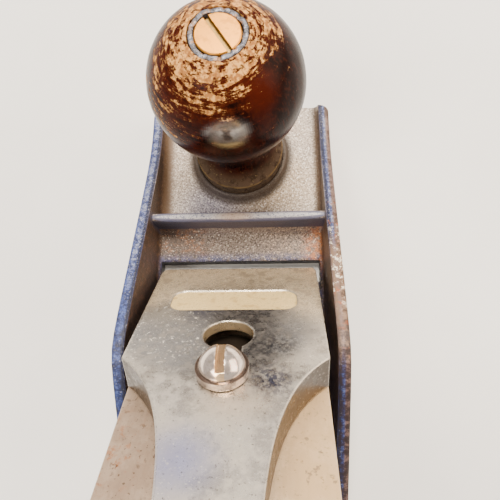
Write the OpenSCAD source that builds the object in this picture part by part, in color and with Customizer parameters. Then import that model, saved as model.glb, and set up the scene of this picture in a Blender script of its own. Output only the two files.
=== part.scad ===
// Smoothing plane with a cast iron body, a movable frog and screw adjustments.
// Millimetres. The sole lies at z = 0, the toe points along +Y and +X is the right side.
// The origin is the centre of the sole.

/* [Body casting] */
// Length of the sole from heel to toe
body_length = 245; // [238:1:255]
// Width of the sole
body_width = 63.5; // [62.5:0.1:66]
// Thickness of the floor
sole_thickness = 4; // [3.4:0.1:4.6]
// Thickness of the side walls at their root
wall_thickness = 3.6; // [3:0.1:3.9]
// How much thinner the walls are at the top
wall_draft = 0.6; // [0.2:0.1:1]
// Radius where the walls meet the floor
root_radius = 3.2; // [2:0.1:3.3]
// How far the toe and heel bow out
end_bow = 2.3; // [1:0.1:4]
// Radius of the four corners
corner_radius = 3; // [2:0.1:5]
// Height of the low side rails above the sole
rail_height = 6; // [5.4:0.1:8]
// Height of the cheeks at their highest point
cheek_height = 36.4; // [33:0.1:40]
// Distance of that point behind the front of the mouth
cheek_peak_back = 35; // [32:0.5:38]
// Rise of the cheeks in front of the peak, per millimetre
front_slope = 0.45; // [0.4:0.01:0.5]
// Fall of the cheeks behind the peak, per millimetre
rear_slope = 0.6; // [0.55:0.01:0.7]

/* [Mouth and cross rib] */
// Distance from the toe to the front edge of the mouth
toe_to_mouth = 59; // [57:0.5:60]
// Length of the mouth across the sole
mouth_length = 54; // [53.8:0.1:54.6]
// Distance from the front of the mouth back to the line where the bed meets the sole
bed_setback = 5.3; // [5.2:0.1:5.8]
// Distance from the front of the mouth to the cross rib
rib_ahead = 11.3; // [10:0.1:13]
// Thickness of the cross rib
rib_thickness = 2.9; // [2.4:0.1:3.6]
// Height of the cross rib above the sole
rib_height = 15.8; // [13:0.1:17]
// Extra thickness of the floor between the rib and the mouth
mouth_pad_rise = 0.8; // [0.4:0.1:1.4]

/* [Frog seat] */
// Height of the low seat just behind the mouth
low_seat_height = 7; // [6.6:0.1:7.4]
// Height of the high seat that takes the frog screws
high_seat_height = 12; // [11.4:0.1:12.4]
// Width of both seats
seat_width = 48; // [46:0.5:50]
// Length of the high seat
high_seat_length = 22; // [21:0.5:24]
// Distance from the bed line back to the front of the high seat
high_seat_back = 18.2; // [18:0.1:18.6]
// Width of the rib that keeps the frog square
guide_width = 5.8; // [4:0.2:7]
// Height of that rib
guide_height = 1.8; // [1:0.1:2.2]

/* [Frog] */
// Width of the frog
frog_width = 49; // [48:0.1:50]
// Length of the bed face measured up the slope
frog_bed_length = 112; // [111:0.5:114]
// Thickness of the face plate
frog_plate = 4.5; // [4:0.1:5]
// Thickness of the base plate
frog_base = 5; // [4.4:0.1:5.4]
// Thickness of the two side webs
frog_web = 4.4; // [3.6:0.1:4.8]
// How far the frog can be set forward
frog_forward = 1.2; // [0.8:0.1:1.2]
// How far the frog can be set back
frog_back = 0.8; // [0.4:0.1:0.8]
// Distance between the two frog screws
frog_screw_pitch = 27; // [26:0.5:28]
// Diameter of the frog screws
frog_screw_d = 5; // [4.4:0.1:5.4]

/* [Irons] */
// Width of the cutter
cutter_width = 50.8; // [50:0.1:51]
// Length of the cutter
cutter_length = 180; // [168:1:190]
// Thickness of the cutter
cutter_thickness = 2.1; // [1.9:0.05:2.2]
// Bevel angle of the cutting edge
bevel_angle = 25; // [23:1:30]
// Width of the long slot
slot_width = 11.1; // [10.8:0.1:11.4]
// Length of the cap iron
cap_iron_length = 128; // [124:1:134]
// Thickness of the cap iron
cap_iron_thickness = 2.1; // [1.9:0.05:2.2]
// How far the cap iron sits back from the cutting edge
cap_iron_setback = 1.5; // [0.8:0.1:2]
// Height of the curved hump near the edge
hump_height = 2; // [1.6:0.1:2.2]
// Length of the hump along the cap iron
hump_length = 17; // [15:0.5:19]
// Diameter of the cap iron screw
iron_screw_d = 7.8; // [7:0.1:8]

/* [Lever cap] */
// Width of the lever cap
lever_cap_width = 50.4; // [49:0.1:51]
// Distance up the bed to its front edge
lever_cap_front = 4.9; // [4.4:0.1:5.4]
// Distance up the bed to its shoulders
shoulder_at = 54.3; // [53:0.1:55]
// Half width of the slim neck
neck_half = 9; // [8.6:0.1:9.6]
// Height of its front edge above the bed
cap_front_height = 7.5; // [7.4:0.1:8]
// Rise of the front half, per millimetre
cap_rise = 0.1316; // [0.12:0.001:0.14]
// Height of the lever cap's top above the middle of the cam pin
cap_over_pin = 2.35; // [2.2:0.05:2.6]
// Thickness of the casting over its hollow underside
cap_wall = 3.2; // [2.8:0.1:3.6]
// Radius of the wide end of the keyhole
keyhole_radius = 6.6; // [6.5:0.05:7]
// How far the cap slides to bring the wide end over the screw head
keyhole_travel = 15.1; // [14.5:0.1:15.5]
// Depth of the painted panel near the front
panel_depth = 0.4; // [0.2:0.05:0.6]

/* [Lever cap screw and cam] */
// Distance up the bed to the lever cap screw
cap_screw_at = 59.4; // [59:0.1:59.6]
// Diameter of the lever cap screw
cap_screw_d = 7; // [6.4:0.1:7.2]
// Diameter of its head
cap_screw_head_d = 12.5; // [11.5:0.1:12.6]
// Distance from the upper end of the cap iron down to the cam pin
cam_below_end = 18.4; // [17:0.1:20]
// Height of the cam pin above the bed
cam_height = 8.8; // [8.7:0.1:9]
// Diameter of the cam pin
cam_pin_d = 3.2; // [2.8:0.1:3.4]
// Length of the cam lever from its pin to its tip
cam_lever_length = 27; // [24:0.5:30]

/* [Depth adjustment] */
// Height of the adjusting stud above the sole
stud_height = 33; // [32.6:0.1:33.4]
// Diameter of the stud
stud_d = 7.1; // [6.6:0.1:7.4]
// Diameter of the knurled nut
nut_d = 31.8; // [28:0.1:32]
// Length of the knurled rim
nut_rim = 10.4; // [9:0.1:11]
// Distance up the bed to the yoke pin
yoke_at = 84; // [83.8:0.1:84.2]
// Depth of the yoke pin below the bed
yoke_depth = 8; // [7.9:0.1:8.2]
// Diameter of the yoke pin
yoke_pin_d = 4; // [3.6:0.1:4.2]

/* [Lateral adjustment] */
// Distance up the bed to the lateral lever's rivet
lateral_rivet_at = 108; // [107.6:0.1:108.4]
// Distance from that rivet down to the roller
roller_drop = 9; // [8.6:0.1:9.2]
// Radius of the roller
roller_radius = 5.45; // [5.3:0.01:5.46]
// Distance from the rivet to the end of the lever's straight part
lateral_reach = 44; // [38:0.5:48]
// Thickness of the lever
lateral_thickness = 1.5; // [1.3:0.1:1.6]

/* [Knob] */
// Distance from the toe to the knob's axis
toe_to_knob = 20; // [19.6:0.1:21]
// Radius of the round head
ball_radius = 21.5; // [20:0.1:22]
// Height of the head's centre above the sole
ball_height = 50.9; // [49:0.1:52]
// Height of the flat top above the sole
knob_top = 71.2; // [70.2:0.1:71.4]
// Radius of the foot
foot_radius = 15.1; // [14.4:0.1:15.3]
// Radius of the neck at its slimmest
knob_neck = 11; // [10.4:0.1:12]
// Radius of the hollow curve between foot and head
cove_radius = 20; // [19:0.1:21]
// Radius of the nut in the top
knob_nut_radius = 5.8; // [5.4:0.1:6]
// Radius of the steel washer round the nut
knob_washer_radius = 7.4; // [7:0.1:8]

/* [Tote] */
// Distance from the heel to the back of the handle
heel_to_tote = 10.5; // [9:0.5:12]
// Distance from the bed line back to the front of the handle
bed_to_tote = 88.2; // [87:0.2:89]
// Thickness of the handle
tote_width = 22; // [20:0.5:24]
// Height of the horn above the floor
tote_height = 104; // [101:1:107]
// Lean of the handle's rod from upright
rod_lean = 20; // [19.6:0.2:20.4]
// Diameter of the rods in handle and knob
rod_d = 5.5; // [5:0.1:6]

/* [Hidden] */
$fn = 72;

// Every plane of this pattern beds its iron at the same angle.
bed_angle = 45;
run_clear = 0.05; // radial clearance of a shaft that turns
soft_clear = 0.3; // gap between pieces that move past each other
cut = 1; // how far a cutting shape runs past the face it cuts

toe_y = body_length / 2;
mouth_front = toe_y - toe_to_mouth;
bed_foot = mouth_front - bed_setback;
knob_y = toe_y - toe_to_knob;
bed_sin = sin(bed_angle);
bed_cos = cos(bed_angle);

// Height and place of a point s up the bed and n above it, as [y, z]
function bed(s, n) = [bed_foot - s * bed_cos + n * bed_sin, s * bed_sin + n * bed_cos];

// Smooth lower and upper of two values, k is half the gap where they cross
function lower(a, b, k) = (a + b) / 2 - sqrt(pow((a - b) / 2, 2) + k * k);
function upper(a, b, k) = (a + b) / 2 + sqrt(pow((a - b) / 2, 2) + k * k);

// Turns a drawing of x, distance up the bed and height above it into place
module on_bed() {
    translate([0, bed_foot, 0]) rotate([bed_angle, 0, 180]) children();
}

// Extrudes a side view drawn as [y, z] or [s, n] across the width
module across(width) {
    rotate([90, 0, 90]) linear_extrude(width, center = true) children();
}

// A slot with round ends, width w, between two points
module slot_shape(w, a, b) {
    translate([0, a]) circle(w / 2);
    translate([0, b]) circle(w / 2);
    translate([-w / 2, a]) square([w, b - a]);
}

// A rectangle with round corners
module round_rect(w, l, r) {
    square([w - 2 * r, l], center = true);
    square([w, l - 2 * r], center = true);
    for (x = [-1, 1], y = [-1, 1]) {
        translate([x * (w / 2 - r), y * (l / 2 - r)]) circle(r);
    }
}

// A straight screwdriver slot across a head, cut from its top face downwards
module driver_slot(length, width, depth) {
    translate([-length / 2, -width / 2, -depth]) cube([length, width, depth + cut]);
}

// Body casting

cheek_peak_y = mouth_front - cheek_peak_back;
cheek_points = 60;
bow_radius = (body_width * body_width / 4 + end_bow * end_bow) / (2 * end_bow);
corner_x = body_width / 2 - corner_radius;
corner_y = toe_y - bow_radius
    + sqrt(pow(bow_radius - corner_radius, 2) - corner_x * corner_x);
floor_half = body_width / 2 - wall_thickness;
rib_back = mouth_front + rib_ahead;
guide_top = high_seat_height + guide_height;
seat_front = bed_foot - high_seat_back;
seat_rear = seat_front - high_seat_length;
edge_at = -cutter_thickness; // the cutting edge, level with the sole
cap_iron_front = edge_at + cap_iron_setback;
cam_at = cap_iron_front + cap_iron_length - cam_below_end;
bevel_back = frog_back + soft_clear; // how far the casting's bevel lies behind the bed
screw_x = frog_screw_pitch / 2;
screw_y = seat_front - 10;
adjust_z = 8; // height of the frog adjusting screw
adjust_r = 2.5;
ring_outer = foot_radius + 1.7;
ring_inner = foot_radius + 0.2;
ring_height = 2.6;
boss_r = 6;
knob_boss_h = 6;
rod_r = rod_d / 2;
tote_back_y = -toe_y + heel_to_tote;
tote_length = bed_foot - bed_to_tote - tote_back_y;
drawn_length = 82; // length and height that the outline of the handle is drawn at
drawn_height = 104;
drawn_rod = 24; // places of rod and pin on that drawing
drawn_pin = 74;
long_scale = tote_length / drawn_length;
high_scale = tote_height / drawn_height;
tote_lean = atan(long_scale / high_scale * tan(rod_lean));
tote_rod_y = tote_back_y + drawn_rod * long_scale;
tote_pin_y = tote_back_y + drawn_pin * long_scale; // pin that stops the handle turning
tote_pin_r = 2.5;

// Height of the cheeks along the body: two slopes, a round peak and low rails
function cheek_top(y) =
    upper(rail_height,
        lower(cheek_height + 2.4 - front_slope * (y - cheek_peak_y - 3),
            cheek_height + 2.4 - rear_slope * (cheek_peak_y + 3 - y), 2.4),
        2.5);

module cheek_profile() {
    polygon(concat([[toe_y, 0], [-toe_y, 0]],
        [for (i = [0 : cheek_points])
            let (y = -toe_y + body_length * i / cheek_points) [y, cheek_top(y)]]));
}

// Plan of the casting: bowed ends and small round corners
module casting_plan() {
    square([body_width, 2 * corner_y], center = true);
    for (x = [-1, 1], y = [-1, 1]) {
        translate([x * corner_x, y * corner_y]) circle(corner_radius);
    }
    intersection() {
        square([2 * corner_x, body_length], center = true);
        translate([0, toe_y - bow_radius]) circle(bow_radius);
        translate([0, bow_radius - toe_y]) circle(bow_radius);
    }
}

// Section of the trough between the walls, with round roots and a little draft
module trough_section() {
    high = cheek_height + 20;
    low = sole_thickness + root_radius;
    polygon([[-floor_half, low], [floor_half, low],
        [floor_half + wall_draft, high], [-floor_half - wall_draft, high]]);
    translate([-floor_half + root_radius, sole_thickness])
        square([2 * (floor_half - root_radius), root_radius + 0.01]);
    for (x = [-1, 1]) {
        translate([x * (floor_half - root_radius), low]) circle(root_radius);
    }
}

// Frame of the rod through the handle, its Z along the rod
module on_tote_rod() {
    translate([0, tote_rod_y, sole_thickness]) rotate([-tote_lean, 0, 0]) children();
}

module cross_rib() {
    foot = 1.8; // small fillets at its foot
    low = sole_thickness - 0.5;
    round = rib_thickness / 2;
    across(2 * floor_half + 1) {
        translate([rib_back, low]) square([rib_thickness, rib_height - round - low]);
        translate([rib_back + round, rib_height - round]) circle(round);
        polygon([[rib_back - foot, low], [rib_back + rib_thickness + foot, low],
            [rib_back + rib_thickness + foot, sole_thickness],
            [rib_back + rib_thickness, sole_thickness + foot],
            [rib_back, sole_thickness + mouth_pad_rise + foot],
            [rib_back - foot, sole_thickness + mouth_pad_rise]]);
    }
}

module frog_seat() {
    low = sole_thickness - 0.5;
    bevel_y = bed_foot - bevel_back;
    across(seat_width) {
        translate([seat_rear, low])
            square([seat_front - seat_rear, high_seat_height - low]);
        polygon([[seat_front - 1, low], [bevel_y, low],
            [bevel_y - low_seat_height, low_seat_height],
            [seat_front - 1, low_seat_height]]);
    }
    across(guide_width) {
        translate([seat_rear, high_seat_height - 1])
            square([seat_front - seat_rear, guide_height + 1]);
    }
}

// Raised ring that holds the knob's foot, and the boss that its rod screws into
module knob_ring() {
    translate([0, knob_y, sole_thickness - 0.5]) rotate_extrude() {
        polygon([[ring_inner, 0], [ring_outer + 0.6, 0], [ring_outer + 0.2, 0.9],
            [ring_outer - 0.7, ring_height + 0.5], [ring_inner, ring_height + 0.5]]);
        square([boss_r, knob_boss_h + 0.5]);
    }
}

module tote_boss() {
    intersection() {
        on_tote_rod() translate([0, 0, -6]) cylinder(r = boss_r, h = 12);
        translate([-2 * boss_r, tote_rod_y - 2 * boss_r, sole_thickness - 0.5])
            cube([4 * boss_r, 4 * boss_r, 3 * boss_r]);
    }
    translate([0, tote_pin_y, sole_thickness - 0.5]) cylinder(r = tote_pin_r, h = 2.5);
}

module body() {
    color([0.27, 0.31, 0.42])
    difference() {
        union() {
            difference() {
                intersection() {
                    linear_extrude(cheek_height + 10) casting_plan();
                    across(body_width + 2) cheek_profile();
                }
                rotate([90, 0, 0])
                    linear_extrude(body_length + 2, center = true) trough_section();
            }
            cross_rib();
            translate([-floor_half - 0.5, mouth_front - 1, sole_thickness - 0.5])
                cube([2 * floor_half + 1, rib_ahead + 2, mouth_pad_rise + 0.5]);
            frog_seat();
            knob_ring();
            tote_boss();
        }
        across(mouth_length) {
            polygon([[bed_foot - bevel_back + cut, -cut], [mouth_front, -cut],
                [mouth_front, low_seat_height + 3],
                [bed_foot - bevel_back - low_seat_height - 3, low_seat_height + 3]]);
        }
        for (x = [-screw_x, screw_x]) {
            translate([x, screw_y, 2])
                cylinder(d = frog_screw_d + 2 * run_clear, h = high_seat_height);
        }
        translate([0, seat_rear - cut, adjust_z]) rotate([-90, 0, 0])
            cylinder(r = adjust_r + run_clear, h = 15 + cut);
        translate([0, knob_y, 1.5]) cylinder(r = rod_r + run_clear, h = 20);
        on_tote_rod() translate([0, 0, -2]) cylinder(r = rod_r + run_clear, h = 20);
    }
}

// Frog and what holds it

base_top = high_seat_height + frog_base;
step_y = seat_front + frog_back + 1; // step between the frog's foot and its base
frog_rear = seat_rear - 6;
neck_from = 68; // distance up the bed where the frog starts to narrow
neck_to = 84;
top_half = 13.8; // half width of the frog's top
ear_inner = 9.5;
ear_outer = 13.5;
stud_r = stud_d / 2;
stud_boss_r = 7;
stud_wall = 5.5; // thickness of the wall that carries the stud
bed_to_stud_wall = 55.2;
stud_wall_back = bed_foot - bed_to_stud_wall;
stud_boss_end = stud_wall_back - 8;
stud_bore_end = stud_wall_back + 4.2;
yoke_pivot = bed(yoke_at, -yoke_depth);
yoke_hub_r = 3.2;
tip_half = 4; // half width of the yoke's tip
tip_t = 1.6; // half thickness of the yoke's tip
tip_at = yoke_at + 2;
window_half = 9.2; // opening in the bed for the cap iron screw's head
window_low = yoke_at - 19.1;
window_high = yoke_at + 0.6;
rivet_r = 2.5; // hole of the lateral lever's rivet
lateral_recess = lateral_thickness + 1;
roller_at = lateral_rivet_at - roller_drop;
cap_screw_reach = 9.5; // how far the lever cap screw goes into the frog
washer_h = 1.2;
clip_t = 1.5;
clip_y = frog_rear - clip_t;
clip_screw_z = base_top + 4.5;
clip_screw_r = 1.5;
adjust_core = 1.9; // slim part of the adjusting screw, between its two collars
adjust_reach = 12; // length of its thread inside the casting

module frog_outline() {
    polygon([
        bed(low_seat_height / bed_sin, 0),
        bed(frog_bed_length, 0),
        bed(frog_bed_length, -frog_plate),
        bed(72, -frog_plate - 2.5),
        [stud_wall_back, stud_height + stud_boss_r],
        [frog_rear + 3, base_top + 4],
        [frog_rear, base_top],
        [frog_rear, high_seat_height],
        [step_y, high_seat_height],
        [step_y, low_seat_height]]);
}

// Plan of the frog seen square to the bed: full width below, narrow and round on top
module frog_plan() {
    half = frog_width / 2;
    round = 6;
    polygon([[-half, -60], [half, -60], [half, neck_from], [top_half, neck_to],
        [top_half, frog_bed_length - round], [-top_half, frog_bed_length - round],
        [-top_half, neck_to], [-half, neck_from]]);
    translate([0, frog_bed_length - 2 * round])
        round_rect(2 * top_half, 4 * round, round);
}

module frog_solid() {
    intersection() {
        across(frog_width) frog_outline();
        union() {
            for (x = [-1, 1]) {
                translate([x * (frog_width - frog_web) / 2, 0, 0])
                    across(frog_web) frog_outline();
            }
            // face plate
            on_bed() translate([-frog_width / 2, 0, -frog_plate])
                cube([frog_width, frog_bed_length, frog_plate]);
            // foot and base plate
            translate([-frog_width / 2, step_y, 0]) cube([frog_width, 40, frog_base * 2.4]);
            translate([-frog_width / 2, frog_rear, 0]) cube([frog_width, 60, base_top]);
            // lug for the clip
            translate([-7, frog_rear, base_top - 1]) cube([14, 7, 11]);
            // wall that carries the stud
            translate([-frog_width / 2, stud_wall_back, stud_height - stud_boss_r - 3])
                cube([frog_width, stud_wall, 2 * stud_boss_r + 8]);
        }
    }
    // ears for the yoke pin, running on as ribs behind the top of the face
    intersection() {
        union() {
            for (x = [-1, 1]) {
                translate([x * (ear_inner + ear_outer) / 2, 0, 0])
                    across(ear_outer - ear_inner) polygon([
                        bed(62, -1), bed(frog_bed_length, -1),
                        bed(frog_bed_length, -frog_plate - 1.5),
                        bed(yoke_at + 7, -yoke_depth - 4.5),
                        bed(yoke_at - 2, -yoke_depth - 5),
                        bed(62, -frog_plate - 2)]);
            }
        }
        on_bed() translate([0, 0, -30]) linear_extrude(30) frog_plan();
    }
    // boss for the stud, and the boss for the lever cap screw
    translate([0, stud_wall_back + stud_wall, stud_height]) rotate([90, 0, 0])
        cylinder(r = stud_boss_r, h = stud_wall_back + stud_wall - stud_boss_end);
    on_bed() translate([0, cap_screw_at, -13]) cylinder(r = 5.3, h = 13);
}

module frog() {
    half_travel = (frog_forward + frog_back) / 2;
    mid = (frog_forward - frog_back) / 2;
    color([0.24, 0.3, 0.44])
    difference() {
        intersection() {
            frog_solid();
            on_bed() translate([0, 0, -70]) linear_extrude(70) frog_plan();
        }
        // groove for the casting's guide rib
        translate([-guide_width / 2 - 0.2, frog_rear - cut, high_seat_height - cut])
            cube([guide_width + 0.4, step_y - frog_rear + 2 * cut,
                guide_height + 0.2 + cut]);
        // slotted holes for the frog screws, with room above for a screwdriver
        for (x = [-screw_x, screw_x]) {
            translate([x, screw_y - mid, high_seat_height - cut])
                linear_extrude(frog_base + 2 * cut)
                    slot_shape(frog_screw_d + 1.2, -half_travel, half_travel);
            translate([x, screw_y - mid, base_top])
                linear_extrude(60) slot_shape(12, -half_travel, half_travel);
        }
        on_bed() {
            // threaded hole of the lever cap screw
            translate([0, cap_screw_at, -cap_screw_reach - 1.5])
                cylinder(d = cap_screw_d + 2 * run_clear, h = cap_screw_reach + 2.5);
            // room for the head of the cap iron screw, and the slot for the yoke
            translate([-window_half, window_low, -frog_plate - cut])
                cube([2 * window_half, window_high - window_low, frog_plate + 2 * cut]);
            translate([-tip_half - 1.4, window_high - cut, -frog_plate - 4])
                cube([2 * tip_half + 2.8, yoke_at + 8.4 - window_high + cut,
                    frog_plate + 4 + cut]);
            // step for the lateral lever
            translate([-frog_width, roller_at - roller_radius - soft_clear,
                -lateral_recess])
                cube([2 * frog_width, frog_bed_length, lateral_recess + cut]);
            translate([0, lateral_rivet_at, -20]) cylinder(r = rivet_r, h = 21);
        }
        translate([0, yoke_pivot[0], yoke_pivot[1]]) rotate([0, 90, 0])
            cylinder(d = yoke_pin_d + 0.04, h = frog_width, center = true);
        translate([0, stud_bore_end, stud_height]) rotate([90, 0, 0])
            cylinder(r = stud_r + run_clear, h = 30);
        translate([0, frog_rear - cut, clip_screw_z]) rotate([-90, 0, 0])
            cylinder(r = clip_screw_r, h = 6);
    }
}

module frog_screws() {
    color([0.45, 0.43, 0.4])
    for (x = [-screw_x, screw_x]) {
        translate([x, screw_y, 0]) difference() {
            union() {
                translate([0, 0, 2.5]) cylinder(d = frog_screw_d, h = base_top + washer_h - 2.5);
                translate([0, 0, base_top + washer_h]) cylinder(r = 4.8, h = 2.4);
                translate([0, 0, base_top + washer_h + 2.4])
                    cylinder(r1 = 4.8, r2 = 4, h = 0.9);
            }
            translate([0, 0, base_top + washer_h + 3.3]) driver_slot(12, 1.2, 1.7);
        }
    }
}

module frog_washers() {
    color([0.55, 0.53, 0.5])
    for (x = [-screw_x, screw_x]) {
        translate([x, screw_y, base_top]) difference() {
            cylinder(r = 5.6, h = washer_h);
            translate([0, 0, -cut])
                cylinder(d = frog_screw_d + 2 * run_clear, h = washer_h + 2 * cut);
        }
    }
}

// Horizontal screw: its collar sits in the clip's fork and moves the frog
module frog_adjusting_screw() {
    head_y = clip_y - soft_clear / 2;
    head_r = adjust_z - sole_thickness - 0.4; // clear of the floor
    thread_y = head_y + clip_t + soft_clear;
    color([0.5, 0.48, 0.44])
    translate([0, 0, adjust_z]) rotate([-90, 0, 0]) difference() {
        union() {
            translate([0, 0, head_y - 5]) cylinder(r1 = head_r - 0.5, r2 = head_r, h = 0.8);
            translate([0, 0, head_y - 4.2]) cylinder(r = head_r, h = 4.2);
            translate([0, 0, head_y]) cylinder(r = adjust_core, h = thread_y - head_y);
            translate([0, 0, thread_y])
                cylinder(r = adjust_r, h = seat_rear + adjust_reach - thread_y);
        }
        translate([0, 0, head_y - 5]) rotate([180, 0, 0]) driver_slot(10, 1.2, 1.8);
    }
}

module frog_clip() {
    fork = adjust_core + 0.15;
    color([0.5, 0.49, 0.47])
    translate([0, frog_rear, 0]) rotate([90, 0, 0]) linear_extrude(clip_t) difference() {
        translate([0, 15]) round_rect(11, 19.6, 2);
        translate([-fork, 0]) square([2 * fork, adjust_z]);
        translate([0, adjust_z]) circle(fork);
        translate([0, clip_screw_z]) circle(clip_screw_r + run_clear);
    }
}

module frog_clip_screw() {
    color([0.6, 0.58, 0.53])
    translate([0, clip_y, clip_screw_z]) rotate([90, 0, 0]) difference() {
        union() {
            translate([0, 0, -clip_t - 4.5])
                cylinder(r = clip_screw_r - 0.02, h = clip_t + 4.5);
            cylinder(r = 3.1, h = 1.6);
        }
        translate([0, 0, 1.6]) driver_slot(7, 0.9, 0.9);
    }
}

// Depth adjustment: stud, nut and yoke

groove_y = stud_wall_back - 17.5; // middle of the nut's groove
groove_half = 2.4;
groove_core = 5.1;
flange_r = 7.6;
flange_front = groove_y + 4.3;
tine_inner = 5.45;
tine_outer = 8.9;
tine_r = groove_half - 0.35;
stud_front = stud_wall_back - 1.5;
stud_tail = 3; // how far the stud's end stands out behind the nut's rim
tip_top = cutter_thickness + cap_iron_thickness - 0.35;

module depth_stud() {
    stud_length = stud_front - groove_y + groove_half + nut_rim + stud_tail;
    color([0.52, 0.5, 0.46])
    translate([0, stud_front, stud_height]) rotate([90, 0, 0]) {
        cylinder(r = stud_r, h = stud_length);
        translate([0, 0, stud_length]) cylinder(r1 = stud_r, r2 = stud_r - 0.8, h = 0.8);
    }
}

// Knurled brass nut: a grooved hub in front and a wide rim behind
module depth_nut() {
    nut_r = nut_d / 2;
    rim_front = groove_y - groove_half;
    rim_rear = rim_front - nut_rim;
    teeth = 60;
    color([0.78, 0.62, 0.3])
    translate([0, 0, stud_height]) rotate([90, 0, 0]) difference() {
        rotate_extrude() polygon([
            [stud_r + run_clear, -flange_front], [flange_r, -flange_front],
            [flange_r, -groove_y - groove_half], [groove_core, -groove_y - groove_half],
            [groove_core, -rim_front], [nut_r - 1.2, -rim_front], [nut_r, -rim_front + 1.2],
            [nut_r, -rim_rear - 1.2], [nut_r - 1.2, -rim_rear], [nut_r - 4, -rim_rear],
            [nut_r - 5, -rim_rear - 1.6], [7.5, -rim_rear - 1.6], [6.5, -rim_rear],
            [stud_r + run_clear, -rim_rear]]);
        for (i = [0 : teeth - 1]) {
            rotate(i * 360 / teeth) translate([nut_r + 0.1, 0, -rim_front - cut])
                rotate(45) translate([-0.4, -0.4, 0]) cube([0.8, 0.8, nut_rim + 2 * cut]);
        }
    }
}

// Forked lever: two tines ride in the nut's groove and the tip drives the cap iron
module yoke() {
    knee = stud_height + 5.4; // the arms bend here, above the nut's front flange
    color([0.42, 0.4, 0.37])
    difference() {
        union() {
            translate([0, yoke_pivot[0], yoke_pivot[1]]) rotate([0, 90, 0])
                cylinder(r = yoke_hub_r, h = 2 * tine_outer, center = true);
            on_bed() across(2 * tip_half) polygon([
                [yoke_at - 2.5, -yoke_depth], [yoke_at + 2.5, -yoke_depth],
                [tip_at + tip_t, -3], [tip_at + tip_t, tip_top],
                [tip_at - tip_t, tip_top], [tip_at - tip_t, -3]]);
            for (x = [-1, 1]) {
                translate([x * (tine_inner + tine_outer) / 2, 0, 0]) {
                    across(tine_outer - tine_inner) polygon([
                        [groove_y + 1.05, stud_height], [groove_y + 1.35, knee],
                        yoke_pivot + [1.9, -1.8], yoke_pivot + [-1.9, 1.8],
                        [groove_y - 0.7, knee], [groove_y - 1.05, stud_height]]);
                    translate([0, groove_y, stud_height]) rotate([0, 90, 0])
                        cylinder(r = tine_r, h = tine_outer - tine_inner, center = true);
                }
            }
        }
        translate([0, yoke_pivot[0], yoke_pivot[1]]) rotate([0, 90, 0])
            cylinder(d = yoke_pin_d + 2 * run_clear, h = frog_width, center = true);
    }
}

module yoke_pin() {
    color([0.58, 0.56, 0.52])
    translate([0, yoke_pivot[0], yoke_pivot[1]]) rotate([0, 90, 0])
        cylinder(d = yoke_pin_d, h = 2 * ear_outer, center = true);
}

// Lateral adjustment

lateral_top = -0.6; // the lever lies this far under the iron
lateral_low = lateral_top - lateral_thickness;
roller_pin_r = 2;
roller_head_r = 3;
lateral_end = lateral_rivet_at + lateral_reach;
lateral_head = 5.2; // half width round the rivet
lateral_arm = 4.4; // half width of the arm
finger_drop = 35; // how steeply the finger end turns down
finger_length = 10;
rivet_head_r = 3.2;
rivet_head_h = 1.2;

// Pressed strip under the iron: roller end, rivet hole, arm and a turned-down finger end
module lateral_lever() {
    arm_from = lateral_rivet_at + 18;
    bend = lateral_thickness * tan(finger_drop / 2);
    tip_s = lateral_end + finger_length * cos(finger_drop);
    tip_n = lateral_top - finger_length * sin(finger_drop);
    color([0.5, 0.48, 0.46])
    on_bed() {
        translate([0, 0, lateral_low]) linear_extrude(lateral_thickness) difference() {
            union() {
                slot_shape(2 * lateral_head, roller_at, lateral_rivet_at);
                polygon([[-lateral_head + 0.4, lateral_rivet_at],
                    [lateral_head - 0.4, lateral_rivet_at], [lateral_arm, arm_from],
                    [lateral_arm, arm_from + 2], [-lateral_arm, arm_from + 2],
                    [-lateral_arm, arm_from]]);
            }
            translate([0, lateral_rivet_at]) circle(rivet_r + run_clear);
        }
        across(2 * lateral_arm) polygon([
            [arm_from + 1, lateral_low], [lateral_end - bend, lateral_low],
            [tip_s - lateral_thickness * sin(finger_drop),
                tip_n - lateral_thickness * cos(finger_drop)],
            [tip_s, tip_n], [lateral_end, lateral_top], [arm_from + 1, lateral_top]]);
        translate([0, lateral_end, lateral_top]) rotate([-finger_drop, 0, 0])
            translate([0, 0, -lateral_thickness]) linear_extrude(lateral_thickness)
                intersection() {
                    translate([0, finger_length - 5]) circle(12.5);
                    translate([-11.5, finger_length - 1.5]) square([23, 12]);
                }
        translate([0, roller_at, lateral_top - 0.5]) {
            cylinder(r = roller_pin_r, h = 2.3);
            translate([0, 0, 1.8]) cylinder(r = roller_head_r, h = 0.5);
        }
    }
}

module lateral_roller() {
    color([0.6, 0.58, 0.55])
    on_bed() translate([0, roller_at, lateral_top + 0.15]) difference() {
        cylinder(r = roller_radius, h = 2.2);
        translate([0, 0, -cut]) cylinder(r = roller_pin_r + run_clear, h = 5);
        translate([0, 0, 1.05]) cylinder(r = roller_head_r + 0.15, h = 3);
    }
}

// Headed on both sides: countersunk behind the frog, a low disc on top of the lever
module lateral_rivet() {
    color([0.55, 0.53, 0.5])
    on_bed() translate([0, lateral_rivet_at, 0]) {
        translate([0, 0, -frog_plate - rivet_head_h - 0.2])
            cylinder(r = rivet_r - 0.02, h = frog_plate + rivet_head_h + lateral_top + 0.3);
        translate([0, 0, lateral_top + 0.05]) cylinder(r = rivet_head_r, h = 0.4);
        translate([0, 0, -frog_plate - 2 * rivet_head_h])
            cylinder(r1 = rivet_r, r2 = rivet_head_r, h = rivet_head_h);
    }
}

// Cutter and cap iron

cap_iron_top = cutter_thickness + cap_iron_thickness;
iron_screw_at = 73.5;
iron_screw_r = iron_screw_d / 2;
iron_head_r = 7.5;
iron_head_h = 2.8;
hump_steps = 20;

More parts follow.
